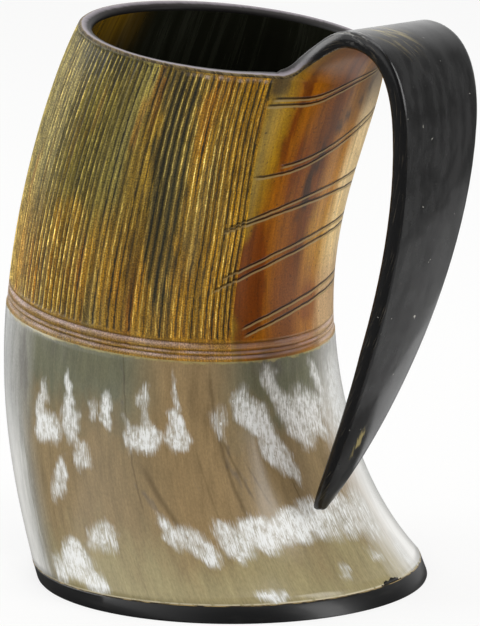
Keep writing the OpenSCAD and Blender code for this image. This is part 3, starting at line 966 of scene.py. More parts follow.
# Cracks in the polished half: angle at 45 mm, lean and bend in degrees a millimetre, the
# heights between which it runs, its half width in millimetres and its strength
CRACKS = [
    (-61.6, -0.02, 0.0, 24, 72, 0.35, 0.45),
    (-60.3, -0.26, 0.006, 18, 40, 1.3, 0.5),
    (-31.7, -0.09, 0.0016, 22, 68, 0.8, 0.45),
    (-30.6, -0.34, 0.0, 26, 50, 0.6, 0.4),
    (-26.5, -0.36, 0.0, 24, 42, 0.45, 0.35),
    (-12.4, -0.22, 0.0, 14, 36, 0.3, 0.5),
    (-40.2, -0.1, 0.0, 20, 44, 0.5, 0.25),
]
CRACK_MIDDLE = 45
CRACK_FADE = 6
# Angles from the handle, in degrees: the side towards the camera, the middle between the two
# sides that carry a painted reflection, and the place where the foot is chipped
NEAR_SIDE = -38
REFLECTING_SIDES_MIDDLE = -47
CHIPPED = 10


def cracked(grain, start, lean, bend, low, high, half, strength):
    """How close a point is to a crack that runs up the horn, from 0 to its strength."""
    up = grain.height - CRACK_MIDDLE
    line = (up * bend + lean) * up + start
    wobble = grain.fibres(6, 6, 3, 8, turned=False) - 0.5
    close = abs((grain.turn - line) * Grain.DEGREE + wobble).fall(0, half)
    low, high = low - CRACK_MIDDLE, high - CRACK_MIDDLE
    return close * up.rise(low, low + CRACK_FADE) * up.fall(high - CRACK_FADE, high) * strength


def polished_horn(colours, band_foot):
    """Horn sanded and buffed: grey and brown layers under a clear gloss, cloudy white fibre, and a painted
    reflection, pale to white, on the two sides seen edge-on.
    """
    coat = Coat("horn, buffed", {
        "IOR": KERATIN_IOR,
        "Roughness": 0.24,
        "Coat Weight": 0.3,
        "Coat Roughness": 0.1,
    })
    grain = Grain(coat.tree, math.radians(-4))
    # The pearl bands at the two sides seen edge-on are a painted reflection of the white surroundings
    coat.colour = grain.bands(1, [
        (-180, "stone"), (-140, "fog"), (-127, "pearl"), (-117, "fog"), (-106, "stone"),
        (-98, "sage"), (-80, "sage"), (-62, "sage"), (-48, "taupe"), (-34, "taupe"),
        (-18, "sage"), (6, "sage"), (18, "stone"), (28, "fog"), (38, "pearl"), (50, "fog"),
        (80, "flax"), (98, "taupe"), (120, "sage"), (145, "taupe"), (165, "stone"),
    ])
    # The side towards the camera is browner below its middle, and yellower at its foot
    height = grain.height + (grain.fibres(8, 16, 3, 1) * 30 - 15)
    facing = abs(grain.turn - NEAR_SIDE).fall(58, 74)
    coat.lay(height.fall(42, 60) * facing * 0.8, "taupe")
    coat.lay(height.fall(6, 26) * facing * 0.8, "flax")
    for kind, hue, depth, place in (
        ("olive", "olive", 0.2, 9.5), ("russet", "umber", 0.3, 9.5), ("slate", "dusk", 0.6, 7.6),
    ):
        coat.lay(grain.cover(kind, 3, 18, 0.5, 0.2, 1.1, place) * depth, hue)
    coat.brighten(
        grain.fibres(2.4, 14, 4, 2).mapped(0.3, 0.7, 0.84, 1.16),
        grain.fibres(0.5, 9, 3, 5).mapped(0.3, 0.7, 0.92, 1.08),
        grain.fibres(0.4, 0.9, 3, 8).mapped(0.3, 0.7, 0.88, 1.12),
    )
    # Straw colour has run over the edge of the ring band
    spill = grain.fibres(3, 2, 4, 7) * 3 + grain.height - band_foot / MM
    coat.lay(spill.rise(0.6, 1.6) * 0.7, "#b3a468")
    # Towards the two sides seen edge-on the horn is painted white, a painted reflection of the white
    # surroundings, and it is layered again behind them
    away = abs(grain.turn - REFLECTING_SIDES_MIDDLE)
    before = away.reckoned("PINGPONG", away, 180).fall(94, 120)
    for low_turn, high_turn, top in ((-100, -114, 52), (17, 41, 74)):
        frayed = grain.fibres(1.2, 9, 5, top) * 14 + grain.turn
        side = frayed.mapped(low_turn, high_turn, 0, 0.95) * height.mapped(top, top - 22, 0, 1)
        coat.lay(side * before, "#fbfaf6")
    for crack in CRACKS:
        coat.lay(cracked(grain, *crack), "#4a3a22")
    # Each cloud has a grey halo, white strands, and veins in its middle
    bloom = grain.mark("bloom")
    coat.lay(bloom.rise(0.1, 1) * 0.5, "#b9b8ae")
    strands = grain.fibres(0.3, 3.6, 4, 2) * grain.fibres(1.1, 2.6, 5, 9)
    white = grain.cover("bloom", 0.3, 6, 0.9, 0.15, 1.35, 2) * strands.mapped(0.17, 0.31, 0.12, 1.25)
    core = (bloom + (grain.fibres(1.4, 3, 5, 3) * 3 - 1.5)).rise(0.78, 1.15)
    veins = grain.fibres(0.7, 1.6, 5, 11).mapped(0.38, 0.58, 0.2, 0.95)
    white = (white * 1.25).at_least(core * veins)
    coat.lay(white.at_most(1.0), colours.fibre)
    # Glue has dried on the lower edge, and the horn is chipped near the handle
    gaps = grain.fibres(2.5, 2.5, 4, 5, turned=False).rise(0.36, 0.5)
    coat.lay(grain.height.fall(4.65, 4.95) * gaps, "#d8ccab")
    chip = grain.fibres(1.5, 1.5, 3, 1.5, turned=False) * 3.5 + 4 - grain.height
    coat.lay((chip - abs(grain.turn - CHIPPED) * 0.2).rise(0, 0.25), "#17140f")
    coat.emboss(grain.fibres(1.2, 20, 3, 8), 0.05, 0.6)
    coat.emboss(white, 0.05, 0.6)
    return coat.finished()


def lay_scuffs_and_glints(coat, grain):
    """The corner of the handle's crest is rubbed, and a few pale specks stand on the black; both are
    partly wear and partly painted glints.
    """
    rub_and_glint = grain.fibres(0.8, 4, 5, 2).rise(0.5, 0.62)
    coat.lay(rub_and_glint * grain.mark("scuff") * 0.5, "#c4c2bc")
    specks = add_node(coat.tree, "ShaderNodeTexNoise", {"Scale": 520, "Detail": 2, "Vector": grain.uv})
    coat.lay(specks.rise(0.73, 0.77) * grain.mark("handle") * 0.7, "#c9c6bd")


def inner_horn(colours):
    """The black inner layer, buffed to a gloss, with a few olive streaks, fine scuffs and painted glints;
    a painted sheen on the handle and painted reflections inside the cup.
    """
    coat = Coat("black horn, buffed", {
        "IOR": KERATIN_IOR,
        "Coat Weight": 0.1,
        "Coat Roughness": 0.06,
    }, "#1e1e1e")
    grain = Grain(coat.tree, 0.0)
    slanted = Grain(coat.tree, math.radians(-25))
    coat.lay(grain.fibres(4, 12, 5, 9).rise(0.35, 0.65), "#303030")
    # The handle is mottled grey, partly a painted sheen on the black horn, and the inside of the cup is
    # olive-black with soft streaks of painted reflection
    mottled, coat.colour = coat.colour, "#1d1e15"
    coat.lay(grain.fibres(2.5, 40, 4).rise(0.42, 0.75), "#33342a")
    coat.lay(grain.mark("handle"), mottled)
    streak = grain.mark("streak")
    olive = slanted.fibres(1.6, 12, 4, 4).rise(0.48, 0.64) * streak
    coat.lay(olive.at_least(streak.rise(1.1, 1.6)), "#8d8055")
    glow = grain.mark("glow") * grain.fibres(3, 30, 3, 2).mapped(0.35, 0.65, 0.35, 1)
    coat.lay(glow, colours.amber)
    lay_scuffs_and_glints(coat, grain)
    # Broad ripples from the scraper, and fine scuffs on them
    coat.emboss(grain.fibres(11, 8, 1, 3), 0.4, 0.35)
    coat.emboss(grain.fibres(0.5, 4, 4, 6), 0.012, 0.5)
    rough = grain.fibres(9, 12, 4, 1, turned=False).mapped(0.3, 0.7, 0.12, 0.28)
    return coat.finished(Roughness=rough)


def cut_edge_horn(colours):
    """The sawn and sanded edge: grey-brown outside, black inside, as the horn's layers lie."""
    coat = Coat("horn, sanded edge", {"IOR": KERATIN_IOR}, colours.black)
    grain = Grain(coat.tree, 0.0)
    coat.lay(grain.fibres(0.3, 9, 4, 5).rise(0.56, 0.72) * 0.6, "#5c5343")
    black = coat.colour
    across = grain.mark("across")
    mottle = grain.fibres(1.5, 1.5, 4, 1, turned=False)
    stops = [
        (0.0, "#5b4c2c"), (0.17, "#7d6c4a"), (0.24, "#a59da3"), (0.42, "#7b757a"),
        (0.55, "#2b2726"), (1.0, "#0e0d0c"),
    ]
    place = across + (mottle * 0.2 - 0.1)
    coat.colour = add_node(coat.tree, "ShaderNodeValToRGB", {"stops": stops, 0: place})
    # The flutes have torn little notches out of the corner
    notch = grain.fibres(0.5, 0.5, 2, 4, turned=False).rise(0.45, 0.58)
    coat.lay(notch * across.fall(0.1, 0.22) * 0.8, "#211b10")
    handle = grain.mark("handle")
    coat.lay(handle, black)
    lay_scuffs_and_glints(coat, grain)
    # The handle's corner towards the wall is pale in short lengths: wear, and a painted highlight along
    # the corner
    worn_and_highlit = across.fall(0.02, 0.1) * grain.fibres(0.4, 2, 4, 3).rise(0.5, 0.64)
    coat.lay(worn_and_highlit * handle * 0.7, "#a9a79f")
    coat.emboss(mottle, 0.06, 0.5)
    return coat.finished(**{
        "Specular IOR Level": handle.mapped(0, 1, 0.15, 0.5),
        "Roughness": handle.mapped(0, 1, 0.45, 0.2),
    })


def black_plate_horn(colours):
    """Black horn plate, turned flat and buffed, with faint grey layers."""
    coat = Coat("black horn plate, buffed", {
        "IOR": KERATIN_IOR,
        "Roughness": 0.34,
        "Coat Weight": 0.1,
        "Coat Roughness": 0.1,
    }, colours.black)
    place = add_node(coat.tree, "ShaderNodeTexCoord", None, "Object")
    sized = add_node(coat.tree, "ShaderNodeMapping", {"Scale": (90, 90, 500), "Vector": place})
    layers = add_node(coat.tree, "ShaderNodeTexNoise", {"Scale": 1, "Detail": 5, "Vector": sized})
    coat.lay(layers.rise(0.5, 0.8), "#262523")
    coat.emboss(layers, 0.04, 0.5)
    return coat.finished()


def hide_glue(colours):
    """Cured glue, tan and dull, darker where polish has caught in it."""
    coat = Coat("hide glue, cured", {"IOR": 1.5, "Roughness": 0.45}, colours.glue)
    place = add_node(coat.tree, "ShaderNodeTexCoord", None, "Object")
    lumps = add_node(coat.tree, "ShaderNodeTexNoise", {"Scale": 260, "Detail": 4, "Vector": place})
    coat.lay(lumps.rise(0.42, 0.58), "#4a3c28")
    coat.emboss(lumps, 0.1)
    return coat.finished()


def deselect_all():
    """Leave edit mode and select nothing."""
    if bpy.context.object and bpy.context.object.mode != "OBJECT":
        bpy.ops.object.mode_set(mode="OBJECT")
    bpy.ops.object.select_all(action="DESELECT")


def even_columns(count):
    """Columns all round a ring without flutes."""
    return [(math.tau * i / count, NO_FLUTE) for i in range(count)]


def add_ring(name, columns, fill):
    """Add a flat ring with one point for each column, and note each point's column."""
    deselect_all()
    bpy.ops.mesh.primitive_circle_add(vertices=len(columns), radius=1.0, fill_type=fill)
    ring = bpy.context.object
    ring.name = name
    ring.data.name = name
    bpy.ops.object.mode_set(mode="EDIT")
    mesh = bmesh.from_edit_mesh(ring.data)
    for layer in ("turn", "flute", "run", "around"):
        mesh.verts.layers.float.new(layer)
    turn = mesh.verts.layers.float["turn"]
    flute = mesh.verts.layers.float["flute"]
    mesh.verts.ensure_lookup_table()
    for point, (angle, number) in zip(mesh.verts, columns):
        point[turn] = angle
        point[flute] = number
    # An open ring has no face, so its points are what is selected
    bpy.ops.mesh.select_mode(type="VERT")
    bpy.ops.mesh.select_all(action="SELECT")
    return ring


def place_row(ring, put):
    """Lay the selected row where put(turn, flute) says: a point, its run and its place around."""
    mesh = bmesh.from_edit_mesh(ring.data)
    turn, flute, run, around = [mesh.verts.layers.float[n] for n in ("turn", "flute", "run", "around")]
    for point in mesh.verts:
        if point.select:
            point.co, point[run], point[around] = put(point[turn], point[flute])
    bmesh.update_edit_mesh(ring.data, loop_triangles=False, destructive=False)


def extrude_row(ring, put):
    """Extrude the selected row and lay the new one."""
    bpy.ops.mesh.extrude_region_move()
    place_row(ring, put)


def apply_modifier(piece, kind, **settings):
    """Add a modifier with its settings and apply it."""
    modifier = piece.modifiers.new(kind.title(), kind)
    for key, value in settings.items():
        setattr(modifier, key, value)
    bpy.context.view_layer.objects.active = piece
    bpy.ops.object.modifier_apply(modifier=modifier.name)


def edit_none(piece, kind):
    """Open a piece for editing by points, edges or faces, with none selected."""
    deselect_all()
    piece.select_set(True)
    bpy.context.view_layer.objects.active = piece
    bpy.ops.object.mode_set(mode="EDIT")
    bpy.ops.mesh.select_all(action="DESELECT")
    bpy.ops.mesh.select_mode(type=kind)
    return bmesh.from_edit_mesh(piece.data)


def lay_rows(ring, rows, at):
    """Lay the ring as the first row and extrude the others: at(*row) says where each lies."""
    place_row(ring, at(*rows[0]))
    for row in rows[1:]:
        extrude_row(ring, at(*row))


def patch(run, share, middle, side, long, wide):
    """How much a soft oval on the handle covers a point, from its middle and its half sizes."""
    return ease(1.2 - math.hypot((run - middle) / long, (share - side) / wide))


class MESH_OT_horn_cup(Operator):
    """Model the horn: its wall, fluting and ring band, and the handle that its wall runs on into"""

    bl_idname = "mesh.horn_cup"
    bl_label = "Horn cup"

    STRIP_COLUMNS = 44
    # Rows of the wall, below the ring band and above it
    LOW_ROWS = 34
    HIGH_ROWS = 19
    # Rows of the strip: round its corners, to the crest, to the grip and down the blade
    CORNER_ROWS = 6
    CREST_ROWS = 12
    GRIP_ROWS = 22
    BLADE_ROWS = 34
    # The blade's rows crowd together towards the tip, and stop at this share of its length
    CROWDING = 1.7
    TIP_SHARE = 0.996
    # Slack for heights that a layer keeps in single precision
    SLACK = 1e-7
    OUTER, INNER, EDGE, PANEL, BUFFED = range(5)
    LOOKS = (
        "furrow", "ridge", "grime", "tone", "warm", "glint", "ring", "lip", "streak", "scuff",
        "glow", "handle",
    )
    # Where light shines through the wall below the rim: its middle and half width
    GLOW_TURN = math.radians(198)
    GLOW_HALF = math.radians(26)

    def execute(self, context):
        self.form = HornForm(context.scene.horn_sizes)
        self.carving = Carving(self.form, context.scene.horn_carving)
        self.cup = add_ring("horn_body", self.carving.columns(self.STRIP_COLUMNS), "NOTHING")
        self.raise_wall()
        self.draw_strip()
        self.give_thickness()
        self.thin_inside()
        self.round_edges()
        self.carve()
        self.paint_marks()
        self.paint_edge()
        self.unroll()
        self.finish(context.scene.horn_colours)
        return {"FINISHED"}

    def wall_rows(self):
        """Heights of the rows up the wall, close together where something is cut."""
        c = self.carving
        low = steps(self.form.seam, c.band_foot, self.LOW_ROWS)
        band = [c.band_foot + 0.5 * MM]
        for groove in c.grooves:
            half = c.c.groove_width / 2
            band += [groove + half * share for share in (-1, -0.5, 0, 0.5, 1)]
        foot = [c.band_top + share * MM for share in (0.5, 0.9, 1.3)]
        middle = steps(foot[-1], c.top_height - 3.2 * MM, self.HIGH_ROWS)
        ends = [c.top_height - share * MM for share in (2.7, 2.2, 1.7, 1.2, 0.8, 0.4, 0.0)]
        return low + band + foot + middle + ends

    def raise_wall(self):
        """Extrude the foot's ring up to the rim, row by row."""
        form, carving = self.form, self.carving

        def at(h):
            t = form.station(h)

            def put(turn, flute):
                angle = carving.spread(turn, h)
                return form.drawn(t, angle), h, angle * Grain.MEAN_RADIUS
            return put

        lay_rows(self.cup, [(form.seam,), *[(h,) for h in self.wall_rows()]], at)

    def strip_rows(self):
        """Rows of the strip: distance along it and half width of its flat sheet."""
        form, s = self.form, self.form.s
        rows = []
        for b in steps(0, math.pi / 2, self.CORNER_ROWS):
            run = s.edge_cut + s.root_fillet * (1 - math.cos(b)) - s.edge_cut * math.cos(b)
            half = s.strip_width / 2 + s.root_fillet * (1 - math.sin(b)) - s.edge_cut * math.sin(b)
            rows.append((run, half))
        end = form.strip_length * self.TIP_SHARE - s.edge_cut
        runs = steps(rows[-1][0], form.crest_run, self.CREST_ROWS)
        runs += steps(form.crest_run, form.grip_run, self.GRIP_ROWS)
        for share in steps(0, 1, self.BLADE_ROWS):
            runs.append(mix(form.grip_run, end, 1 - (1 - share) ** self.CROWDING))
        return rows + [(run, form.half_width(run) - s.edge_cut) for run in runs]

    def draw_strip(self):
        """Extrude the part of the rim that faces the handle along the handle's path."""
        form = self.form
        rim = self.carving.top_height
        edge = form.root_angle + 1e-6
        mesh = bmesh.from_edit_mesh(self.cup.data)
        turn = mesh.verts.layers.float["turn"]
        for line in mesh.edges:
            if line.select and any(abs(v[turn]) > edge for v in line.verts):
                line.select = False
        for point in mesh.verts:
            if point.select and abs(point[turn]) > edge:
                point.select = False
        mesh.select_flush_mode()

        stretch = Grain.MEAN_RADIUS * form.root_angle / form.root_half

        def at(run, half):
            def put(turn, flute):
                y = half * turn / form.root_angle
                return form.strip_point(run, y), rim + run, y * stretch
            return put

        for run, half in self.strip_rows():
            extrude_row(self.cup, at(run, half))
        bpy.ops.mesh.select_all(action="SELECT")
        mesh = bmesh.from_edit_mesh(self.cup.data)
        mesh.faces.ensure_lookup_table()
        face = mesh.faces[0]
        if face.normal.dot(face.calc_center_median()) < 0:
            bpy.ops.mesh.flip_normals()
        bpy.ops.object.mode_set(mode="OBJECT")

    def read_layer(self, name):
        return [item.value for item in self.cup.data.attributes[name].data]

    def give_thickness(self):
        """Turn the sheet into a wall, as thick as the horn is at each place."""
        form = self.form
        runs, turns = self.read_layer("run"), self.read_layer("turn")
        rim = self.carving.top_height
        most = form.s.blade_thickness + form.s.blade_crown
        group = self.cup.vertex_groups.new(name="thickness")
        for i, (run, turn) in enumerate(zip(runs, turns)):
            if run <= rim + self.SLACK:
                thick = form.wall(form.station(run))
            else:
                share = turn / form.root_angle
                s = run - rim
                thick = form.strip_thickness(s) + form.crown(s) * (1 - share * share)
            group.add([i], thick / most, "REPLACE")
        for name in ("horn, outer", "horn, inner", "horn, edge"):
            self.cup.data.materials.append(bpy.data.materials.new(name))
        apply_modifier(
            self.cup, "SOLIDIFY", thickness=most, offset=-1, vertex_group="thickness",
            material_offset=self.INNER, material_offset_rim=self.EDGE,
        )
        self.cup.vertex_groups.clear()

    def thin_inside(self):
        """Dissolve the inside's columns between the flutes, as no flute is cut there."""
        mesh = edit_none(self.cup, "EDGE")
        flute = mesh.verts.layers.float["flute"]
        for line in mesh.edges:
            first, second = [v[flute] for v in line.verts]
            inside = all(face.material_index == self.INNER for face in line.link_faces)
            if inside and first == second and first % 1:
                line.select = True
        bmesh.update_edit_mesh(self.cup.data)
        bpy.ops.mesh.dissolve_edges(use_verts=True)
        bpy.ops.object.mode_set(mode="OBJECT")

    def round_edges(self):
        """Inset the cut edge twice, so that the rim and the strip have rounded corners."""
        mesh = edit_none(self.cup, "FACE")
        run = mesh.verts.layers.float["run"]
        for face in mesh.faces:
            if face.material_index == self.EDGE and all(v[run] > 20 * MM for v in face.verts):
                face.select = True
        bmesh.update_edit_mesh(self.cup.data)
        cut = self.form.s.edge_cut
        for inward, outward in ((0.35, 0.65), (0.65, 0.35)):
            bpy.ops.mesh.inset(thickness=inward * cut, depth=outward * cut, use_even_offset=True)
        bpy.ops.object.mode_set(mode="OBJECT")

    def paint(self, name, values):
        """Keep one number for each point of the piece, for its materials to read."""
        layer = self.cup.data.attributes.new(name, "FLOAT", "POINT")
        layer.data.foreach_set("value", values)

    def carve(self):
        """Sink the flutes, the ring grooves and the carved half into the outside."""
        data = self.cup.data
        runs, flutes = self.read_layer("run"), self.read_layer("flute")
        rim = self.carving.top_height
        outside = {v for face in data.polygons if face.material_index == self.OUTER for v in face.vertices}
        normals = [v.normal.copy() for v in data.vertices]
        cuts = [0.0] * len(runs)
        for i in outside:
            if runs[i] < rim - self.SLACK:
                depth, cuts[i] = self.carving.depth(flutes[i], runs[i])
                data.vertices[i].co -= normals[i] * depth
        self.paint("cut", cuts)

    def paint_marks(self):
        """Paint the marks, the look of each flute, the streaks and the glow on the points."""
        form, carving = self.form, self.carving
        rim = carving.top_height
        painted = {name: [] for name in (*MARKS, *self.LOOKS)}
        layers = [self.read_layer(name) for name in ("run", "turn", "flute", "around")]
        for run, turn, flute, around in zip(*layers):
            angle = around / Grain.MEAN_RADIUS
            for kind in MARKS:
                painted[kind].append(marked(kind, angle, run))
            for look in ("furrow", "ridge", "grime", "tone", "warm"):
                painted[look].append(getattr(carving, look)(flute, run))
            painted["glint"].append(carving.glint(flute, angle, run))
            painted["ring"].append(1.0 if carving.band_foot < run <= carving.band_top else 0.0)
            painted["lip"].append(carving.lip(run))
            # Olive streaks lie on the crest and near the tip, and the crest's corner is rubbed and carries
            # painted glints
            s = run - rim
            share = turn / form.root_angle
            past_crest = s - form.crest_run
            on_crest = patch(past_crest, share, 3 * MM, -0.35, 13 * MM, 0.5)
            near_tip = patch(s, share, 143.5 * MM, -0.2, 5.5 * MM, 0.2)
            painted["streak"].append(max(on_crest, 1.8 * near_tip))
            painted["scuff"].append(patch(past_crest, share, 1 * MM, -1, 8 * MM, 0.3))
            away = abs(math.remainder(turn - self.GLOW_TURN, math.tau))
            glow = ease((run - 126 * MM) / (18 * MM)) * ease(1.3 - away / self.GLOW_HALF)
            painted["glow"].append(0.75 * glow if s < 1 * MM else 0.0)
            painted["handle"].append(ease(s / (9 * MM)))
        for name, values in painted.items():
            self.paint(name, values)

    def paint_edge(self):
        """Paint how far across the wall each point of the cut edge lies, from outside to inside."""
        data = self.cup.data
        trees = {}
        for side in (self.OUTER, self.INNER):
            points = {v for face in data.polygons if face.material_index == side for v in face.vertices}
            trees[side] = kdtree.KDTree(len(points))
            for i in points:
                trees[side].insert(data.vertices[i].co, i)
            trees[side].balance()
        across = [0.0] * len(data.vertices)
        edge = {v for face in data.polygons if face.material_index == self.EDGE for v in face.vertices}
        for i in edge:
            place = data.vertices[i].co
            outer = trees[self.OUTER].find(place)[2]
            inner = trees[self.INNER].find(place)[2]
            across[i] = outer / (outer + inner)
        self.paint("across", across)
        scuffs = self.read_layer("scuff")
        # Only the inner half of the edge is rubbed and carries painted glints, and the black side beside
        # it
        kept = [ease((share - 0.5) / 0.4) if i in edge else 1.0 for i, share in enumerate(across)]
        data.attributes["scuff"].data.foreach_set("value", [a * b for a, b in zip(scuffs, kept)])

    def unroll(self):
        """Lay the horn's own directions out as a UV map, in metres."""
        data = self.cup.data
        runs, arounds, across = [self.read_layer(name) for name in ("run", "around", "across")]
        girth = math.tau * Grain.MEAN_RADIUS
        layer = data.uv_layers.new(name="horn")
        for face in data.polygons:
            first = arounds[face.vertices[0]]
            thick = self.form.s.rim_wall if face.material_index == self.EDGE else 0.0
            for loop, i in zip(face.loop_indices, face.vertices):
                u = first + math.remainder(arounds[i] - first, girth)
                layer.data[loop].uv = (u + thick * across[i], runs[i])

    def finish(self, colours):
        """Give each zone its own finish and shade the piece smooth."""
        data = self.cup.data
        flutes, runs = self.read_layer("flute"), self.read_layer("run")
        band_foot = self.carving.band_foot
        rim = self.carving.top_height
        data.materials[self.OUTER] = fluted_horn(colours)
        data.materials[self.INNER] = inner_horn(colours)
        data.materials[self.EDGE] = cut_edge_horn(colours)
        data.materials.append(panel_horn())
        data.materials.append(polished_horn(colours, band_foot))
        for face in data.polygons:
            if face.material_index == self.OUTER:
                middle = sum(runs[i] for i in face.vertices) / len(face.vertices)
                plain = all(flutes[i] < 0 for i in face.vertices) or middle > rim
                if middle < band_foot:
                    face.material_index = self.BUFFED
                elif plain:
                    face.material_index = self.PANEL
        deselect_all()
        self.cup.select_set(True)
        bpy.context.view_layer.objects.active = self.cup
        bpy.ops.object.shade_smooth()
        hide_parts("horn_cup")
        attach(self.cup, "root")


class MESH_OT_horn_base(Operator):
    """Turn the black base plate, with the step that locates it in the horn"""

    bl_idname = "mesh.horn_base"
    bl_label = "Base plate"

    COLUMNS = 180

    def execute(self, context):
        form = HornForm(context.scene.horn_sizes)
        s = form.s
        plate = add_ring("base_disc", even_columns(self.COLUMNS), "NGON")
        floor = form.seam + s.step_height
        step = s.foot_wall + s.glue_thickness
        inner = form.wall(form.station(floor)) + s.glue_thickness
        # Height of each row, and how far it lies within the horn's outside
        rows = [
            (0.0, 0.9 * MM), (0.0, 0.5 * MM), (0.08 * MM, 0.2 * MM), (0.25 * MM, 0.06 * MM),
            (0.5 * MM, 0.0), (s.plate_thickness / 2, 0.0), (s.plate_thickness - 0.15 * MM, 0.0),
            (s.plate_thickness, 0.1 * MM), (s.plate_thickness, step), (floor - 0.3 * MM, inner),
            (floor, inner + 0.3 * MM), (floor, inner + 1.0 * MM),
        ]

        def at(h, inset):
            return lambda turn, flute: (form.foot_point(h, turn, inset), h, turn)

        lay_rows(plate, rows, at)
        bpy.ops.mesh.select_all(action="SELECT")
        bpy.ops.mesh.normals_make_consistent(inside=False)
        bpy.ops.object.mode_set(mode="OBJECT")
        bpy.ops.object.shade_smooth_by_angle(angle=math.radians(32))
        plate.data.materials.append(black_plate_horn(context.scene.horn_colours))
        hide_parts("base_plate")
        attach(plate, "root")
        return {"FINISHED"}


class MESH_OT_horn_glue(Operator):
    """Lay the bed of glue between the horn and its plate, squeezed out a little unevenly"""

    bl_idname = "mesh.horn_glue"
    bl_label = "Glue seam"

    COLUMNS = 360

    def execute(self, context):
        form = HornForm(context.scene.horn_sizes)
        s = form.s
        seam = add_ring("glue_bed", even_columns(self.COLUMNS), "NOTHING")
        floor = form.seam + s.step_height
        inner = form.wall(form.station(floor))
        step = s.foot_wall + s.glue_thickness
        bed = (s.plate_thickness + form.seam) / 2
        # Height of each row, and how far it lies within the horn's outside
        rows = [
            (s.plate_thickness, step), (s.plate_thickness, 0.2 * MM), (bed, -0.06 * MM),
            (form.seam, 0.2 * MM), (form.seam, s.foot_wall), (floor, inner),
            (floor + s.glue_fillet, inner), (floor + 0.3 * s.glue_fillet, inner + 0.6 * s.glue_fillet),
            (floor, inner + s.glue_thickness + s.glue_fillet), (floor, inner + s.glue_thickness),
        ]

        def at(h, inset):
            def put(turn, flute):
                uneven = noise.noise(Vector((9 * math.cos(turn), 9 * math.sin(turn), h * 50)))
                lump = 0.12 * MM * uneven if h == bed else 0.0
                swell = 0.5 * MM * uneven if inset > inner + 0.1 * MM and h >= floor else 0.0
                return form.foot_point(h, turn, inset + lump + swell), h, turn
            return put

        # The last row closes the ring on the first, and the doubled points are merged
        lay_rows(seam, rows + rows[:1], at)
        bpy.ops.mesh.select_all(action="SELECT")
        bpy.ops.mesh.remove_doubles(threshold=0.002 * MM)
        bpy.ops.mesh.normals_make_consistent(inside=False)
        bpy.ops.object.mode_set(mode="OBJECT")
        bpy.ops.object.shade_smooth_by_angle(angle=math.radians(50))
        seam.data.materials.append(hide_glue(context.scene.horn_colours))
        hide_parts("glue_seam")
        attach(seam, "root")
        return {"FINISHED"}


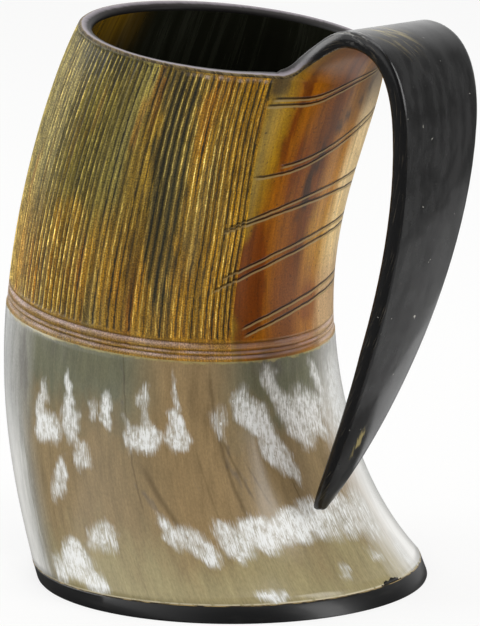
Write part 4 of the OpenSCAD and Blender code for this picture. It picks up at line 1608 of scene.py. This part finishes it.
class SCENE_OT_horn_stage(Operator):
    """Set up the camera, the pale floor and the soft studio light"""

    bl_idname = "scene.horn_stage"
    bl_label = "Studio"

    # Fitted to the photograph: where the camera stands round the cup, how high and how far
    AZIMUTH = math.radians(43)
    ELEVATION = math.radians(11.15)
    DISTANCE = 1.138
    TARGET = Vector((0, 0, 0.075))
    LENS = 246.6
    SHIFT = (0.0118, -0.0230)
    # Which way the studio is dark, from +X
    DARK_SIDE = math.radians(5)

    def execute(self, context):
        scene = context.scene
        scene.view_settings.view_transform = "Standard"
        self.add_camera(scene)
        self.add_floor()
        self.light_world(scene)
        self.add_lamps()
        return {"FINISHED"}

    def add_camera(self, scene):
        back = Vector((
            math.sin(self.AZIMUTH) * math.cos(self.ELEVATION),
            -math.cos(self.AZIMUTH) * math.cos(self.ELEVATION),
            math.sin(self.ELEVATION),
        ))
        deselect_all()
        bpy.ops.object.camera_add(
            location=self.TARGET + self.DISTANCE * back,
            rotation=back.to_track_quat("Z", "Y").to_euler(),
        )
        camera = bpy.context.object
        camera.name = "camera"
        camera.data.lens = self.LENS
        camera.data.sensor_width = 36
        camera.data.shift_x, camera.data.shift_y = self.SHIFT
        scene.camera = camera

    def add_floor(self):
        """White paper to the eye; dull in the gloss, where the cup stands in its own shade."""
        deselect_all()
        bpy.ops.mesh.primitive_plane_add(size=6)
        floor = bpy.context.object
        floor.name = "floor"
        material = bpy.data.materials.new("white paper sweep")
        material.use_nodes = True
        tree = material.node_tree
        tree.nodes.clear()
        dulled = add_node(tree, "ShaderNodeMix", {
            "data_type": "RGBA",
            0: add_node(tree, "ShaderNodeLightPath", None, "Is Glossy Ray"),
            6: linear("#f4f4f2"),
            7: linear("#666666"),
        }, 2)
        paper = add_node(tree, "ShaderNodeBsdfDiffuse", {"Color": dulled})
        glow = add_node(tree, "ShaderNodeEmission", {"Color": (1, 1, 1, 1), "Strength": 1.0})
        seen = add_node(tree, "ShaderNodeLightPath", None, "Is Camera Ray") * 0.8
        shown = add_node(tree, "ShaderNodeMixShader", {0: seen, 1: paper, 2: glow})
        add_node(tree, "ShaderNodeOutputMaterial", {"Surface": shown})
        floor.data.materials.append(material)
        floor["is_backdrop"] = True

    def light_world(self, scene):
        """White all round to the eye; to the gloss, a studio with a dark side in front."""
        world = bpy.data.worlds.new("studio")
        scene.world = world
        world.use_nodes = True
        tree = world.node_tree
        tree.nodes.clear()
        front = add_node(tree, "ShaderNodeVectorMath", {
            "operation": "DOT_PRODUCT",
            0: add_node(tree, "ShaderNodeTexCoord", None, "Generated"),
            1: (math.cos(self.DARK_SIDE), math.sin(self.DARK_SIDE), 0),
        }, "Value")
        stops = [
            (0.0, "#ffffff"), (0.3, "#f8f8f8"), (0.5, "#d0d0d0"), (0.7, "#6a6a6a"), (0.9, "#484848"),
        ]
        shade = add_node(tree, "ShaderNodeValToRGB", {"stops": stops, 0: front * 0.5 + 0.5})
        studio = add_node(tree, "ShaderNodeBackground", {"Strength": 1.0, "Color": shade})
        fill = add_node(tree, "ShaderNodeBackground", {"Strength": 0.62, "Color": (1, 1, 1, 1)})
        white = add_node(tree, "ShaderNodeBackground", {"Strength": 1.0, "Color": (1, 1, 1, 1)})
        shown = fill
        for ray, light in (("Is Glossy Ray", studio), ("Is Camera Ray", white)):
            seen = add_node(tree, "ShaderNodeLightPath", None, ray)
            shown = add_node(tree, "ShaderNodeMixShader", {0: seen, 1: shown, 2: light})
        add_node(tree, "ShaderNodeOutputWorld", {"Surface": shown})

    def add_lamps(self):
        """Two windows, a lamp overhead and two white cards on the floor beside the handle."""
        # Where each stands, what it faces, its size in metres and its power in watts
        for name, place, aim, size, power in (
            ("window left", (-1.1, -0.75, 0.75), (0, 0, 0.08), (0.9, 1.2), 9.0),
            ("window right", (1.3, 0.35, 0.7), (0, 0, 0.08), (0.5, 1.2), 6.5),
            ("overhead", (0.1, 0.1, 1.5), (0, 0, 0.08), (1.0, 1.0), 5.0),
            ("floor card", (0.15, 0.13, 0.001), (0.15, 0.13, 1.0), (0.12, 0.4), 0.06),
            ("edge card", (0.06, 0.13, 0.001), (0.06, 0.13, 1.0), (0.055, 0.15), 0.028),
        ):
            deselect_all()
            towards = Vector(place) - Vector(aim)
            bpy.ops.object.light_add(
                type="AREA", location=place, rotation=towards.to_track_quat("Z", "Y").to_euler())
            lamp = bpy.context.object
            lamp.name = name
            lamp.visible_camera = False
            # The narrow card is seen only in the gloss, along the handle's edge
            lamp.visible_diffuse = name != "edge card"
            lamp.data.shape = "RECTANGLE"
            lamp.data.size, lamp.data.size_y = size
            lamp.data.energy = power


class VIEW3D_PT_horn_cup(Panel):
    """Lists the steps that make the cup, and its sizes and colours"""

    bl_label = "Horn cup"
    bl_space_type = "VIEW_3D"
    bl_region_type = "UI"
    bl_category = "Horn cup"

    def draw(self, context):
        layout = self.layout
        for step in STEPS:
            layout.operator(step.bl_idname)
        for group in ("horn_sizes", "horn_carving", "horn_colours"):
            box = layout.box()
            settings = getattr(context.scene, group)
            for name in settings.__annotations__:
                box.prop(settings, name)


STEPS = (SCENE_OT_horn_stage, MESH_OT_horn_cup, MESH_OT_horn_base, MESH_OT_horn_glue)
GROUPS = {"horn_sizes": HornSizes, "horn_carving": CarvingSizes, "horn_colours": HornColours}


def register():
    for group in GROUPS.values():
        bpy.utils.register_class(group)
    for step in STEPS:
        bpy.utils.register_class(step)
    bpy.utils.register_class(VIEW3D_PT_horn_cup)
    for name, group in GROUPS.items():
        setattr(bpy.types.Scene, name, PointerProperty(type=group))


def unregister():
    for name in GROUPS:
        delattr(bpy.types.Scene, name)
    bpy.utils.unregister_class(VIEW3D_PT_horn_cup)
    for step in reversed(STEPS):
        bpy.utils.unregister_class(step)
    for group in reversed(GROUPS.values()):
        bpy.utils.unregister_class(group)


def main():
    """Make the cup."""
    register()
    bpy.ops.scene.horn_stage()
    bpy.ops.mesh.horn_cup()
    bpy.ops.mesh.horn_base()
    bpy.ops.mesh.horn_glue()
    deselect_all()
    boxes = {"cad": cad_box, "visual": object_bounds()}
    plain = {name: [[round(v, 6) for v in corner] for corner in box] for name, box in boxes.items()}


if __name__ == "__main__":
    main()
